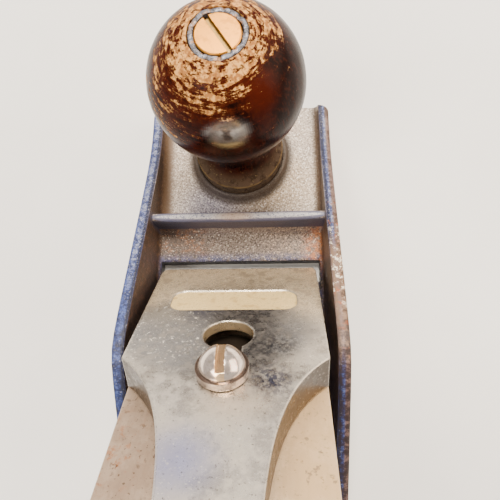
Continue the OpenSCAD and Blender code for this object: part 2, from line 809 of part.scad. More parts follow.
// Flat steel blade with a long keyhole slot, a bevel below and clipped top corners
module cutter() {
    half = cutter_width / 2;
    top_end = edge_at + cutter_length;
    bevel_length = cutter_thickness / tan(bevel_angle);
    color([0.5, 0.43, 0.35])
    on_bed() difference() {
        intersection() {
            across(cutter_width) polygon([
                [edge_at, cutter_thickness], [edge_at + bevel_length, 0],
                [top_end, 0], [top_end, cutter_thickness]]);
            linear_extrude(cutter_thickness + cut) polygon([
                [-half, -20], [half, -20], [half, top_end - 9], [half - 11, top_end],
                [11 - half, top_end], [-half, top_end - 9]]);
        }
        translate([0, 0, -cut]) linear_extrude(cutter_thickness + 2 * cut) {
            slot_shape(slot_width, 40, top_end - 52);
            translate([0, 41]) circle(iron_head_r + 1);
        }
    }
}

// Height of the underside of the hump at distance t from the cap iron's front edge
function hump(t) = t < hump_length ? hump_height * (1 - cos(360 * t / hump_length)) / 2 : 0;

module cap_iron() {
    half = cutter_width / 2 - 0.3;
    low = cutter_thickness;
    top_end = cap_iron_front + cap_iron_length;
    color([0.53, 0.46, 0.38])
    on_bed() difference() {
        intersection() {
            across(2 * half) polygon(concat(
                [for (i = [0 : hump_steps])
                    let (t = hump_length * i / hump_steps)
                        [cap_iron_front + t, low + hump(t)]],
                [[top_end, low], [top_end, cap_iron_top]],
                [for (i = [hump_steps : -1 : 1])
                    let (t = hump_length * i / hump_steps)
                        [cap_iron_front + t, cap_iron_top + hump(t)]],
                [[cap_iron_front, low + 0.5]]));
            linear_extrude(20) polygon([
                [-half, -20], [half, -20], [half, top_end - 7], [half - 8, top_end],
                [8 - half, top_end], [-half, top_end - 7]]);
        }
        translate([0, 0, low - cut]) linear_extrude(cap_iron_thickness + 2 * cut) {
            slot_shape(cap_screw_d + 2.4, cap_screw_at - 2, cap_screw_at + 0.2);
            translate([-tip_half - 1, tip_at - tip_t - 0.5])
                square([2 * tip_half + 2, 2 * tip_t + 1.1]);
            translate([0, iron_screw_at]) circle(iron_screw_r + 0.02);
        }
    }
}

module cap_iron_screw() {
    color([0.5, 0.47, 0.42])
    on_bed() translate([0, iron_screw_at, 0]) difference() {
        union() {
            cylinder(r = iron_screw_r, h = cap_iron_top - 0.1);
            translate([0, 0, -iron_head_h]) cylinder(r = iron_head_r, h = iron_head_h);
        }
        translate([0, 0, -iron_head_h]) rotate([180, 0, 0]) driver_slot(18, 1.5, 1.2);
    }
}

// Lever cap, its screw, spring and cam

cap_half = lever_cap_width / 2;
skirt_low = cap_iron_top + soft_clear;
ear_top_half = 12.2;
cam_half = 8.9;
neck_top = cap_front_height + 5.4; // highest line of the neck, and where it is
neck_top_at = shoulder_at + 29.7;
cap_end = cam_at + 4.4;
plate_end = cam_at - 5.2;
cam_r = 3.3;
spring_t = 0.6;
spring_low = cap_iron_top + soft_clear;
spring_rivet_at = cam_at - 27;
spring_seat = skirt_low + 2.6;
spring_rivet_r = 1.5;
keyhole_wide_at = cap_screw_at - keyhole_travel;
panel_at = lever_cap_front + 21.1; // middle of the painted panel
panel_length = 36.8;
panel_width = 11.6;

// Height of the lever cap's top above the bed
function cap_top(s) = lower(
    cap_front_height + cap_rise * (s - lever_cap_front),
    neck_top - (neck_top - cam_height - cap_over_pin) * (s - neck_top_at)
        / (cam_at - neck_top_at), 0.5);

// Half width of the lever cap: full at the front, then a hollow curve into the neck
function cap_side(s) = s <= shoulder_at ? cap_half
    : neck_half + (cap_half - neck_half) * exp(-(s - shoulder_at) / 14);

module lever_cap_plan() {
    steps = 26;
    curve = [for (i = [0 : steps])
        let (s = shoulder_at + (plate_end - 6 - shoulder_at) * i / steps) [cap_side(s), s]];
    right = concat([[cap_half - 0.8, lever_cap_front], [cap_half, lever_cap_front + 2.5]],
        curve, [[ear_top_half, plate_end - 1], [ear_top_half, cap_end]]);
    polygon(concat(right, [for (i = [len(right) - 1 : -1 : 0]) [-right[i][0], right[i][1]]]));
}

// Side view: thin front edge over the hump, deep skirts behind it, round top end
module lever_cap_profile() {
    steps = 36;
    span = cap_end - lever_cap_front;
    lip = cap_iron_top + hump_height + soft_clear + 0.1;
    hump_end = cap_iron_front + hump_length;
    polygon(concat(
        [for (i = [0 : steps])
            let (s = lever_cap_front + span * i / steps) [s, cap_top(s)]],
        [[cap_end, skirt_low + 1], [cap_end - 1.5, skirt_low], [hump_end + 3, skirt_low],
            [hump_end - 3, lip], [lever_cap_front, lip]]));
}

// Side view of the hollow underside, a wall's thickness below the top
module lever_cap_hollow(from, to) {
    steps = 24;
    polygon(concat(
        [for (i = [0 : steps])
            let (s = from + (to - from) * i / steps) [s, cap_top(s) - cap_wall]],
        [[to, 0], [from, 0]]));
}

module lever_cap() {
    hollow_from = cap_iron_front + hump_length + 3;
    neck_hollow = neck_half - 2;
    color([0.6, 0.57, 0.54])
    on_bed() difference() {
        union() {
            difference() {
                intersection() {
                    across(lever_cap_width) lever_cap_profile();
                    linear_extrude(30) lever_cap_plan();
                }
                across(2 * (cap_half - 3.4)) lever_cap_hollow(hollow_from, shoulder_at - 3);
                across(2 * neck_hollow) lever_cap_hollow(shoulder_at - 4, cap_end + cut);
                translate([-cam_half - soft_clear, plate_end, 0])
                    cube([2 * (cam_half + soft_clear), 20, 30]);
            }
            // pad that the spring is riveted to
            translate([-neck_hollow - 0.5, spring_rivet_at - 5, spring_seat])
                cube([2 * neck_hollow + 1, 10,
                    cap_top(spring_rivet_at) - cap_wall + 0.6 - spring_seat]);
        }
        translate([0, 0, -cut]) linear_extrude(40) {
            slot_shape(cap_screw_d + 0.8, keyhole_wide_at, cap_screw_at);
            translate([0, keyhole_wide_at]) circle(keyhole_radius);
        }
        // shallow panel for paint
        translate([0, panel_at, cap_top(panel_at)])
            rotate([atan(cap_rise), 0, 0]) translate([0, 0, -panel_depth])
                linear_extrude(5) round_rect(panel_length, panel_width, 4);
        translate([0, cam_at, cam_height]) rotate([0, 90, 0])
            cylinder(d = cam_pin_d + 0.04, h = lever_cap_width, center = true);
        translate([0, spring_rivet_at, spring_seat - cut])
            cylinder(r = spring_rivet_r, h = 4);
    }
}

// Flat spring: held under the neck, bent down to lie between cam and cap iron
module lever_cap_spring() {
    half = 6.4;
    bend = spring_rivet_at + 6;
    low_from = bend + 9;
    end = cam_at + 6;
    color([0.45, 0.45, 0.46])
    on_bed() difference() {
        across(2 * half) polygon([
            [spring_rivet_at - 4, spring_seat - spring_t], [bend, spring_seat - spring_t],
            [low_from, spring_low], [end, spring_low], [end, spring_low + spring_t],
            [low_from + 0.1, spring_low + spring_t], [bend + 0.1, spring_seat],
            [spring_rivet_at - 4, spring_seat]]);
        translate([0, spring_rivet_at, 0]) cylinder(r = spring_rivet_r + 0.02, h = 20);
    }
}

module spring_rivet() {
    color([0.55, 0.53, 0.5])
    on_bed() translate([0, spring_rivet_at, spring_seat - spring_t]) {
        cylinder(r = spring_rivet_r - 0.02, h = 3);
        translate([0, 0, -0.9]) cylinder(r = 2.8, h = 0.9);
    }
}

// Cam lever: an eccentric hub between the ears and a thumb plate
module cam_lever() {
    tip = cam_at + cam_lever_length;
    plate_t = 3.2;
    plate_low = cam_height - 0.6;
    plate_half = 11.6;
    color([0.58, 0.56, 0.53])
    on_bed() difference() {
        union() {
            translate([0, cam_at, cam_height]) rotate([0, 90, 0])
                cylinder(r = cam_r - 0.4, h = 2 * cam_half, center = true);
            translate([0, cam_at, spring_low + spring_t + soft_clear + cam_r - 0.5])
                rotate([0, 90, 0]) cylinder(r = cam_r - 0.5, h = 2 * cam_half, center = true);
            intersection() {
                across(2 * plate_half) polygon([
                    [cam_at - 1, cam_height + 2.4], [cam_at + 8, plate_low + plate_t + 0.6],
                    [tip - 6, plate_low + plate_t], [tip, plate_low + plate_t + 0.9],
                    [tip, plate_low + 1.5], [tip - 6, plate_low], [cam_at + 8, plate_low],
                    [cam_at - 1, cam_height - 2.2]]);
                linear_extrude(30) {
                    translate([-cam_half, cam_at - 2]) square([2 * cam_half, 8]);
                    translate([0, (cap_end + 0.6 + tip) / 2])
                        round_rect(2 * plate_half, tip - cap_end - 0.6, 8);
                    translate([-plate_half, cap_end + 0.6]) square([2 * plate_half, 9]);
                }
            }
        }
        translate([0, cam_at, cam_height]) rotate([0, 90, 0])
            cylinder(d = cam_pin_d + 2 * run_clear, h = lever_cap_width, center = true);
    }
}

module cam_pin() {
    color([0.6, 0.58, 0.55])
    on_bed() translate([0, cam_at, cam_height]) rotate([0, 90, 0])
        cylinder(d = cam_pin_d, h = 2 * ear_top_half, center = true);
}

// Domed screw with a collar that the lever cap is drawn down by
module lever_cap_screw() {
    seat = cap_top(cap_screw_at) + 0.25;
    collar_h = 1.9;
    dome_r = cap_screw_head_d / 2 - 0.65;
    color([0.78, 0.76, 0.73])
    on_bed() translate([0, cap_screw_at, 0]) difference() {
        union() {
            translate([0, 0, -cap_screw_reach])
                cylinder(d = cap_screw_d, h = seat + cap_screw_reach + 0.5);
            translate([0, 0, seat]) cylinder(d = cap_screw_head_d, h = collar_h);
            intersection() {
                translate([0, 0, seat + collar_h - 1]) sphere(dome_r);
                translate([0, 0, seat]) cylinder(r = dome_r, h = 12);
            }
        }
        translate([0, 0, seat + collar_h - 1 + dome_r]) rotate(90) driver_slot(16, 2.1, 2.6);
    }
}

// Knob

neck_centre_x = knob_neck + cove_radius;
neck_z = ball_height - sqrt(pow(ball_radius + cove_radius, 2)
    - neck_centre_x * neck_centre_x);
blend_z = ball_height + (neck_z - ball_height) * ball_radius / (ball_radius + cove_radius);
blend_r = neck_centre_x * ball_radius / (ball_radius + cove_radius);
knob_nut_h = 2.6;
barrel_r = 4;
barrel_h = 16;
washer_t = 0.9;
socket_h = knob_boss_h + 0.6;

module knob() {
    low = sole_thickness;
    color([0.27, 0.11, 0.07])
    translate([0, knob_y, 0]) difference() {
        rotate_extrude() intersection() {
            union() {
                translate([0, ball_height]) circle(ball_radius);
                difference() {
                    union() {
                        translate([0, low]) square([foot_radius, neck_z - low]);
                        translate([0, neck_z - 0.1]) square([blend_r, blend_z - neck_z + 0.1]);
                    }
                    translate([neck_centre_x, neck_z]) circle(cove_radius);
                }
            }
            translate([0, low]) square([ball_radius + 1, knob_top - low]);
        }
        translate([0, 0, low - cut]) cylinder(r = rod_r + 0.5, h = knob_top);
        translate([0, 0, low - cut]) cylinder(r = boss_r + soft_clear, h = socket_h + cut);
        translate([0, 0, knob_top - knob_nut_h - washer_t])
            cylinder(r = knob_washer_radius + 0.1, h = 10);
        translate([0, 0, knob_top - knob_nut_h - washer_t - barrel_h - 1])
            cylinder(r = barrel_r + 0.1, h = 30);
    }
}

module knob_washer() {
    color([0.5, 0.49, 0.47])
    translate([0, knob_y, knob_top - knob_nut_h - washer_t]) difference() {
        union() {
            cylinder(r = knob_washer_radius, h = washer_t);
            difference() {
                cylinder(r = knob_washer_radius, h = washer_t + knob_nut_h - 0.1);
                cylinder(r = knob_nut_radius + 0.1, h = 10);
            }
        }
        translate([0, 0, -cut]) cylinder(r = barrel_r + run_clear, h = 10);
    }
}

// Slotted barrel nut: a flat head and a tube with an internal thread
module barrel_nut(head_r, head_h) {
    difference() {
        union() {
            cylinder(r = head_r, h = head_h - 0.3);
            translate([0, 0, head_h - 0.3]) cylinder(r1 = head_r, r2 = head_r - 0.3, h = 0.3);
            translate([0, 0, -barrel_h]) cylinder(r = barrel_r, h = barrel_h);
        }
        translate([0, 0, -barrel_h - cut]) cylinder(r = rod_r + run_clear, h = barrel_h);
        translate([0, 0, head_h]) driver_slot(20, 1.3, 1.4);
    }
}

module knob_nut() {
    color([0.76, 0.64, 0.46])
    translate([0, knob_y, knob_top - knob_nut_h]) rotate(-58)
        barrel_nut(knob_nut_radius, knob_nut_h);
}

module knob_rod() {
    color([0.5, 0.48, 0.45])
    translate([0, knob_y, 1.5])
        cylinder(r = rod_r, h = knob_top - knob_nut_h - 5 - 1.5);
}

// Tote, the rear handle

tote_half = tote_width / 2;

// Side view: height above the floor, and distances of front and back from the base's back
tote_shape = [[0, 82, 0], [6, 81, 0.8], [12, 74, 3], [20, 61.5, 6.5], [31, 53, 11.5],
    [44, 50.5, 17], [56, 53.5, 24.5], [68, 61, 32.5], [78, 67.5, 36.5], [84, 69.4, 36],
    [88, 67.6, 34], [92, 60, 30.5], [96, 47, 26.5], [100, 36, 22.5], [103, 28, 20.4],
    [104, 24.4, 21]];

// Half thickness at each of those heights, and how round its section is there
tote_round = [[0, 1, 7], [6, 1, 6], [12, 1, 4], [20, 1, 3], [31, 1, 2.5], [44, 1, 2.3],
    [56, 1, 2.3], [68, 1, 2.4], [78, 0.98, 2.6], [84, 0.94, 2.8], [88, 0.9, 2.8],
    [92, 0.84, 2.8], [96, 0.74, 2.6], [100, 0.6, 2.5], [103, 0.42, 2.3], [104, 0.26, 2.2]];

// Smooth curve through the rows of a table, column c, at row position u
function row(t, i) = t[max(0, min(len(t) - 1, i))];
function smooth(t, c, u) =
    let (i = min(floor(u), len(t) - 2), f = u - i,
        a = row(t, i - 1)[c], b = row(t, i)[c], d = row(t, i + 1)[c], e = row(t, i + 2)[c])
    b + f * ((d - a) / 2 + f * ((2 * a - 5 * b + 4 * d - e) / 2
        + f * (3 * (b - d) + e - a) / 2));

// Ring of points round the handle at row position u
tote_sides = 28;
tote_steps = 3; // rings between two rows of the table
function signed_power(v, p) = sign(v) * pow(abs(v), p);
function tote_ring(u) =
    let (z = smooth(tote_shape, 0, u), f = smooth(tote_shape, 1, u),
        b = smooth(tote_shape, 2, u), w = tote_half * smooth(tote_round, 1, u),
        p = 2 / smooth(tote_round, 2, u))
    [for (k = [0 : tote_sides - 1])
        let (a = 360 * k / tote_sides)
        [w * signed_power(cos(a), p),
            tote_back_y + long_scale * ((f + b) / 2 + (f - b) / 2 * signed_power(sin(a), p)),
            sole_thickness + z * high_scale]];

module tote_skin() {
    rings = (len(tote_shape) - 1) * tote_steps;
    points = [for (j = [0 : rings]) each tote_ring(j / tote_steps)];
    walls = [for (j = [0 : rings - 1], k = [0 : tote_sides - 1])
        let (a = j * tote_sides + k, b = j * tote_sides + (k + 1) % tote_sides)
        each [[a, b, b + tote_sides], [a, b + tote_sides, a + tote_sides]]];
    bottom = [for (k = [0 : tote_sides - 1]) k];
    top = [for (k = [tote_sides - 1 : -1 : 0]) rings * tote_sides + k];
    polyhedron(points, concat([for (w = walls) [w[0], w[2], w[1]]], [bottom, top]));
}

tote_seat = 88.4 * high_scale / cos(tote_lean); // up the rod to the nut's seat

module tote() {
    color([0.27, 0.11, 0.07])
    difference() {
        tote_skin();
        on_tote_rod() {
            translate([0, 0, -10]) cylinder(r = rod_r + 0.5, h = tote_seat + 10);
            translate([0, 0, -10]) cylinder(r = boss_r + soft_clear, h = 16.8);
            translate([0, 0, tote_seat]) cylinder(r = knob_nut_radius + 0.2, h = 20);
            translate([0, 0, tote_seat - barrel_h - 1]) cylinder(r = barrel_r + 0.1, h = 20);
        }
        translate([0, tote_pin_y, sole_thickness - cut])
            cylinder(r = tote_pin_r + soft_clear, h = 3.6);
    }
}

module tote_rod() {
    color([0.5, 0.48, 0.45])
    on_tote_rod() translate([0, 0, -2]) cylinder(r = rod_r, h = tote_seat - 4);
}

module tote_nut() {
    color([0.76, 0.64, 0.46])
    on_tote_rod() translate([0, 0, tote_seat]) rotate(20)
        barrel_nut(knob_nut_radius, knob_nut_h);
}

body();
frog();
frog_screws();
frog_washers();
frog_adjusting_screw();
frog_clip();
frog_clip_screw();
yoke();
yoke_pin();
depth_stud();
depth_nut();
lateral_lever();
lateral_roller();
lateral_rivet();
cutter();
cap_iron();
cap_iron_screw();
lever_cap_screw();
lever_cap();
cam_lever();
cam_pin();
lever_cap_spring();
spring_rivet();
knob();
knob_rod();
knob_nut();
knob_washer();
tote();
tote_rod();
tote_nut();
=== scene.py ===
# %% [markdown]
# A smoothing plane, dressed for its picture. The CAD model comes in as a fixed frame in
# metres, with the sole at z = 0, the toe along +Y and the right side along +X. Everything
# here is placed by that frame. Lengths are written in millimetres, as in the CAD source,
# and the number MM turns them into metres.

# %% Load the frame
import bpy
import numpy as np
from mathutils import Matrix, Vector


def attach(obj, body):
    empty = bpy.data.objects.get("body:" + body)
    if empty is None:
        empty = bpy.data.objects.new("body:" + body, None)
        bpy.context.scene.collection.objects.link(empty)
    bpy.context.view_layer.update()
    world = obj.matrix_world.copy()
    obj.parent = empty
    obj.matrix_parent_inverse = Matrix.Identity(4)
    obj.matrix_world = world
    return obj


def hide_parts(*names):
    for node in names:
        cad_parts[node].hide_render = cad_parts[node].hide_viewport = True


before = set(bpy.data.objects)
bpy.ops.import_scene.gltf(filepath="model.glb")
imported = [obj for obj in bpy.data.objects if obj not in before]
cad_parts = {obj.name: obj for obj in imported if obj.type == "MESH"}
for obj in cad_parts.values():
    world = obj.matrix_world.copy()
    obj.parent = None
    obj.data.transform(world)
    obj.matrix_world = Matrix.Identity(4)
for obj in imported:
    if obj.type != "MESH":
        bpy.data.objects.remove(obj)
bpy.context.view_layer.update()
MM = 0.001

# %% [markdown]
# The camera was worked out from about forty points measured on the photograph, such as the
# corners of the toe, the ends of the cross rib and the slot of the lever cap screw. It looks
# down from above the heel end. Three unit vectors give its turn: right, up and forward. A
# camera in Blender looks along its own -Z, so the third column of its matrix is the forward
# vector turned round.

# %% Camera
place_mm = np.array([13.903, 24.824, 170.581])
right = np.array([0.997997, 0.000264, -0.063266])
up = np.array([0.015429, 0.968783, 0.247431])
forward = np.cross(up, right)
image_width_px = 500
focal_px = 500.68

camera_data = bpy.data.cameras.new("photo_camera")
camera_data.sensor_width = 36.0
camera_data.lens = focal_px / image_width_px * camera_data.sensor_width
camera_data.clip_start = 0.005
camera_data.clip_end = 10.0
camera = bpy.data.objects.new("photo_camera", camera_data)
turn = Matrix([(right[i], up[i], -forward[i], place_mm[i] * MM) for i in range(3)]
              + [(0, 0, 0, 1)])
camera.matrix_world = turn
bpy.context.scene.collection.objects.link(camera)
bpy.context.scene.camera = camera
print("camera lens in mm:", round(camera_data.lens, 2))

# %% [markdown]
# Two small helpers carry all the materials. One turns the hex value of a colour, as a
# screen shows it, into the linear numbers that a shader mixes. The other adds a node to a
# material, sets its values by name and joins its inputs to other sockets.

# %% Colour and node helpers
def tint(code):
    """Linear red, green, blue and alpha of a hex colour: each channel c between 0 and 1
    becomes c / 12.92 when it is dark and ((c + 0.055) / 1.055) to the power 2.4 above."""
    c = np.array([int(code[i:i + 2], 16) for i in (1, 3, 5)]) / 255.0
    linear = np.where(c <= 0.04045, c / 12.92, ((c + 0.055) / 1.055) ** 2.4)
    return (*linear.tolist(), 1.0)


def add(tree, kind, settings=None, links=None):
    """Adds one node. A setting is a property of the node or the value of an input."""
    node = tree.nodes.new(kind)
    for key, value in (settings or {}).items():
        if isinstance(key, str) and hasattr(node, key):
            setattr(node, key, value)
        else:
            node.inputs[key].default_value = value
    for key, source in (links or {}).items():
        tree.links.new(source, node.inputs[key])
    return node


def per_mm(size):
    """Scale of a texture whose features are that many millimetres wide."""
    return 1.0 / (size * MM)


# %% [markdown]
# A worn surface is many thin layers: metal, paint, grime, rust. Here each layer is a colour
# and a few masks between 0 and 1 that say where it lies. The masks are worked out from the
# piece's own coordinates, so they stay put when it moves: blotches of a given size, patches
# near a point, bands between two levels, distance from the middle, and the way a face looks.

# %% Masks
def to_mask(tree, value, zero_at, one_at):
    """0 where a value is at `zero_at`, 1 at `one_at`, with a soft step between."""
    out = add(tree, "ShaderNodeMapRange",
              {"interpolation_type": "SMOOTHSTEP", "From Min": zero_at, "From Max": one_at},
              {"Value": value})
    return out.outputs[0]


def noise(tree, size, stretch=(1, 1, 1), shift=0.0, detail=4.0, rough=0.6, where=None):
    """Noise around 0.5 with features `size` mm wide, longer along an axis whose stretch is
    less than 1."""
    if where is None:
        where = add(tree, "ShaderNodeTexCoord").outputs["Object"]
    laid = add(tree, "ShaderNodeMapping", {"Scale": stretch, "Location": (shift,) * 3},
               {"Vector": where})
    made = add(tree, "ShaderNodeTexNoise",
               {"Scale": per_mm(size), "Detail": detail, "Roughness": rough},
               {"Vector": laid.outputs[0]})
    return made.outputs[0]


def blotches(tree, size, low, high, **kind):
    """Mask from noise: 0 below `low` and 1 above `high`."""
    return to_mask(tree, noise(tree, size, **kind), low, high)


def near(tree, point_mm, full, gone, squash=(1, 1, 1)):
    """1 within `full` mm of a point, falling to 0 at `gone` mm. A squash over 1 along an
    axis makes the patch shorter that way."""
    where = add(tree, "ShaderNodeTexCoord")
    off = add(tree, "ShaderNodeVectorMath", {"operation": "SUBTRACT", 1: Vector(point_mm) * MM},
              {0: where.outputs["Object"]})
    shaped = add(tree, "ShaderNodeVectorMath", {"operation": "MULTIPLY", 1: squash},
                 {0: off.outputs[0]})
    far = add(tree, "ShaderNodeVectorMath", {"operation": "LENGTH"}, {0: shaped.outputs[0]})
    return to_mask(tree, far.outputs["Value"], gone * MM, full * MM)


def band(tree, direction, zero_at, one_at, start=(0, 0, 0)):
    """Mask by the distance in mm along a direction, counted from a start point in mm."""
    shift = float(np.dot(direction, start))
    where = add(tree, "ShaderNodeTexCoord")
    along = add(tree, "ShaderNodeVectorMath", {"operation": "DOT_PRODUCT", 1: direction},
                {0: where.outputs["Object"]})
    return to_mask(tree, along.outputs["Value"], (zero_at + shift) * MM,
                   (one_at + shift) * MM)


def across(tree, zero_at, one_at):
    """Mask by the distance in mm to either side of the plane's middle."""
    where = add(tree, "ShaderNodeTexCoord")
    split = add(tree, "ShaderNodeSeparateXYZ", None, {0: where.outputs["Object"]})
    wide = add(tree, "ShaderNodeMath", {"operation": "ABSOLUTE"}, {0: split.outputs[0]})
    return to_mask(tree, wide.outputs[0], zero_at * MM, one_at * MM)


def facing(tree, direction, zero_at, one_at):
    """Mask by how squarely the surface faces a direction: the cosine of the angle."""
    shape = add(tree, "ShaderNodeNewGeometry")
    turned = add(tree, "ShaderNodeVectorMath", {"operation": "DOT_PRODUCT", 1: direction},
                 {0: shape.outputs["Normal"]})
    return to_mask(tree, turned.outputs["Value"], zero_at, one_at)


def rubbed_edges(tree, width, low=0.90, high=0.99):
    """1 on edges and 0 on flats: the normal averaged over `width` mm turns away from the
    true one where the surface bends, so their dot product drops."""
    round_normal = add(tree, "ShaderNodeBevel", {"samples": 4, "Radius": width * MM})
    true_normal = add(tree, "ShaderNodeNewGeometry")
    same = add(tree, "ShaderNodeVectorMath", {"operation": "DOT_PRODUCT"},
               {0: round_normal.outputs[0], 1: true_normal.outputs["True Normal"]})
    return to_mask(tree, same.outputs["Value"], high, low)


# %% Ways to combine masks
def both(tree, *masks):
    """Product of masks, of sockets or plain numbers."""
    total = masks[0]
    for mask in masks[1:]:
        node = add(tree, "ShaderNodeMath", {"operation": "MULTIPLY"})
        for socket, value in enumerate((total, mask)):
            if isinstance(value, (int, float)):
                node.inputs[socket].default_value = value
            else:
                tree.links.new(value, node.inputs[socket])
        total = node.outputs[0]
    return total


def either(tree, first, second):
    """The larger of two masks."""
    return add(tree, "ShaderNodeMath", {"operation": "MAXIMUM"},
               {0: first, 1: second}).outputs[0]


def opposite(tree, mask):
    """1 minus the mask."""
    return add(tree, "ShaderNodeMath", {"operation": "SUBTRACT", 0: 1.0},
               {1: mask}).outputs[0]


def worn_through(tree, wear, grain, least, most, soft):
    """1 where wear has broken through a coat. The noise `grain` says how well the coat
    holds at each spot: where wear is 0 only spots below `least` have gone, and where it is
    1 all spots below `most` have."""
    limit = add(tree, "ShaderNodeMapRange", {"To Min": least, "To Max": most},
                {"Value": wear})
    left = add(tree, "ShaderNodeMath", {"operation": "SUBTRACT"},
               {0: limit.outputs[0], 1: grain})
    return to_mask(tree, left.outputs[0], -soft, soft)


# %% Layers of colour, gloss and relief
def coats(tree, shader, base, *layers):
    """Lays coats over a base colour. A layer is (hex colour, strength, mask, mask, ...), and
    the product of its strength and masks says how much of it covers what is below. The mix
    node takes that share in socket 0 and its two colours in sockets 6 and 7."""
    below = base
    for colour, strength, *masks in layers:
        node = add(tree, "ShaderNodeMix", {"data_type": "RGBA", 7: tint(colour)},
                   {0: both(tree, *masks, strength)})
        if isinstance(below, str):
            node.inputs[6].default_value = tint(below)
        else:
            tree.links.new(below, node.inputs[6])
        below = node.outputs[2]
    tree.links.new(below, shader.inputs["Base Color"])
    return below


def vary(tree, shader, socket, under, over, mask):
    """Sets a number of the shader to `under`, or `over` where the mask is 1."""
    out = add(tree, "ShaderNodeMapRange", {"To Min": under, "To Max": over},
              {"Value": mask})
    tree.links.new(out.outputs[0], shader.inputs[socket])


def relief(tree, shader, heights, round_by=0.0):
    """Bumps from (mask, depth in mm) pairs, on a normal whose corners are rounded by
    `round_by` mm."""
    normal = None
    if round_by:
        normal = add(tree, "ShaderNodeBevel", {"samples": 4, "Radius": round_by * MM}
                     ).outputs[0]
    for mask, depth in heights:
        links = {"Height": mask}
        if normal is not None:
            links["Normal"] = normal
        normal = add(tree, "ShaderNodeBump", {"Strength": 1.0, "Distance": depth * MM},
                     links).outputs[0]
    tree.links.new(normal, shader.inputs["Normal"])


def material(name, **settings):
    """A material with one Principled shader; returns the material, its tree and shader."""
    made = bpy.data.materials.new(name)
    made.use_nodes = True
    tree = made.node_tree
    shader = tree.nodes["Principled BSDF"]
    for key, value in settings.items():
        shader.inputs[key.replace("_", " ")].default_value = value
    return made, tree, shader


print("helpers ready")

# %% [markdown]
# The floor is a plain pale table top under a soft studio. Highlights in the photograph give
# the places of the lamps: two on the dome of the screw, one high on the left and one lower
# on the right. The broad highlight low on the knob mirrors the lever cap, and the cap shines
# that way only under a lamp nearly overhead, a little towards the toe, so the main light
# hangs there. The flat irons mirror a window beyond the toe. The lamps are warm, like indoor
# bulbs, and the room between them is dimmer, so dark varnish stays dark.

# %% Floor and light
side = 1.6               # half the width of the table top, in metres
table_z = -0.0004        # just under the sole, so that the two faces don't share a plane
corners = np.array([[-side, -side], [side, -side], [side, side], [-side, side]])
floor_mesh = bpy.data.meshes.new("table_top")
floor_mesh.from_pydata(np.c_[corners, np.full(4, table_z)].tolist(), [], [(0, 1, 2, 3)])
floor = bpy.data.objects.new("table_top", floor_mesh)
bpy.context.scene.collection.objects.link(floor)
# painted board, rolled white and matt: a rough dielectric that gives only a soft sheen
board, tree, shader = material("matt_white_board", Roughness=0.9)
coats(tree, shader, "#f3f3f2", ("#eeedec", 1.0, blotches(tree, 120, 0.35, 0.65)))
floor_mesh.materials.append(board)

world = bpy.data.worlds.new("studio")
bpy.context.scene.world = world
world.use_nodes = True
backdrop = world.node_tree.nodes["Background"]
backdrop.inputs["Color"].default_value = tint("#fbfbfc")
backdrop.inputs["Strength"].default_value = 0.40
lit_point = Vector((0, 0.05, 0.03))      # the middle of the plane's front half


def lamp(name, towards, distance, wide, high, power, hue):
    """A soft panel in metres and watts, `distance` from the lit point and facing it."""
    data = bpy.data.lights.new(name, "AREA")
    data.shape, data.size, data.size_y = "RECTANGLE", wide, high
    data.energy = power
    data.color = tint(hue)[:3]
    away = Vector(towards).normalized()
    made = bpy.data.objects.new(name, data)
    made.matrix_world = (Matrix.Translation(lit_point + away * distance)
                         @ away.to_track_quat("Z", "Y").to_matrix().to_4x4())
    bpy.context.scene.collection.objects.link(made)
    return made


lamp("overhead_lamp", towards=(0.05, 0.38, 0.92), distance=0.9, wide=0.36, high=0.36,
     power=17.0, hue="#fff3e2")
lamp("high_left_lamp", towards=(-0.43, -0.36, 0.83), distance=0.8, wide=0.35, high=0.35,
     power=6.0, hue="#fff2e0")
lamp("low_right_lamp", towards=(0.88, 0.17, 0.45), distance=0.8, wide=0.70, high=0.50,
     power=7.0, hue="#ffe9d0")
lamp("toe_window", towards=(-0.10, 0.93, 0.34), distance=0.9, wide=0.80, high=0.45,
     power=2.2, hue="#fbf7f2")

# %% [markdown]
# The body and the frog are sand-cast grey iron. The sand leaves a skin of fine pebbles. The
# casting was dipped in blue enamel, called japan, and the sole and the outer sides were
# then ground bare. Decades of use rubbed the toe's floor down to silvery tan, left blue on
# the rims and the rib, and packed brown grime into the corners, which also carry painted
# shade. Enamel is a dielectric over metal, so the shader is only partly metallic there, and
# fully metallic where it is bare.

# %% Directions and places used by the finishes
slope = np.sqrt(0.5)
up_bed = (0.0, -slope, slope)      # direction up the 45 degree bed
off_bed = (0.0, slope, slope)      # direction square to the bed, out of it
left, rightward = (-1.0, 0.0, 0.0), (1.0, 0.0, 0.0)
toeward, upward = (0.0, 1.0, 0.0), (0.0, 0.0, 1.0)
bed_foot_mm = (0.0, 58.2, 0.0)     # where the bed meets the sole
knob_axis = (0.0, 102.5)           # mm across and along


def on_bed_mm(x, up_mm, off_mm):
    """Place in mm of a point across, up and off the bed."""
    return (x, bed_foot_mm[1] + (off_mm - up_mm) * slope, (up_mm + off_mm) * slope)


print("the bed's foot is", bed_foot_mm[1], "mm ahead of the middle")

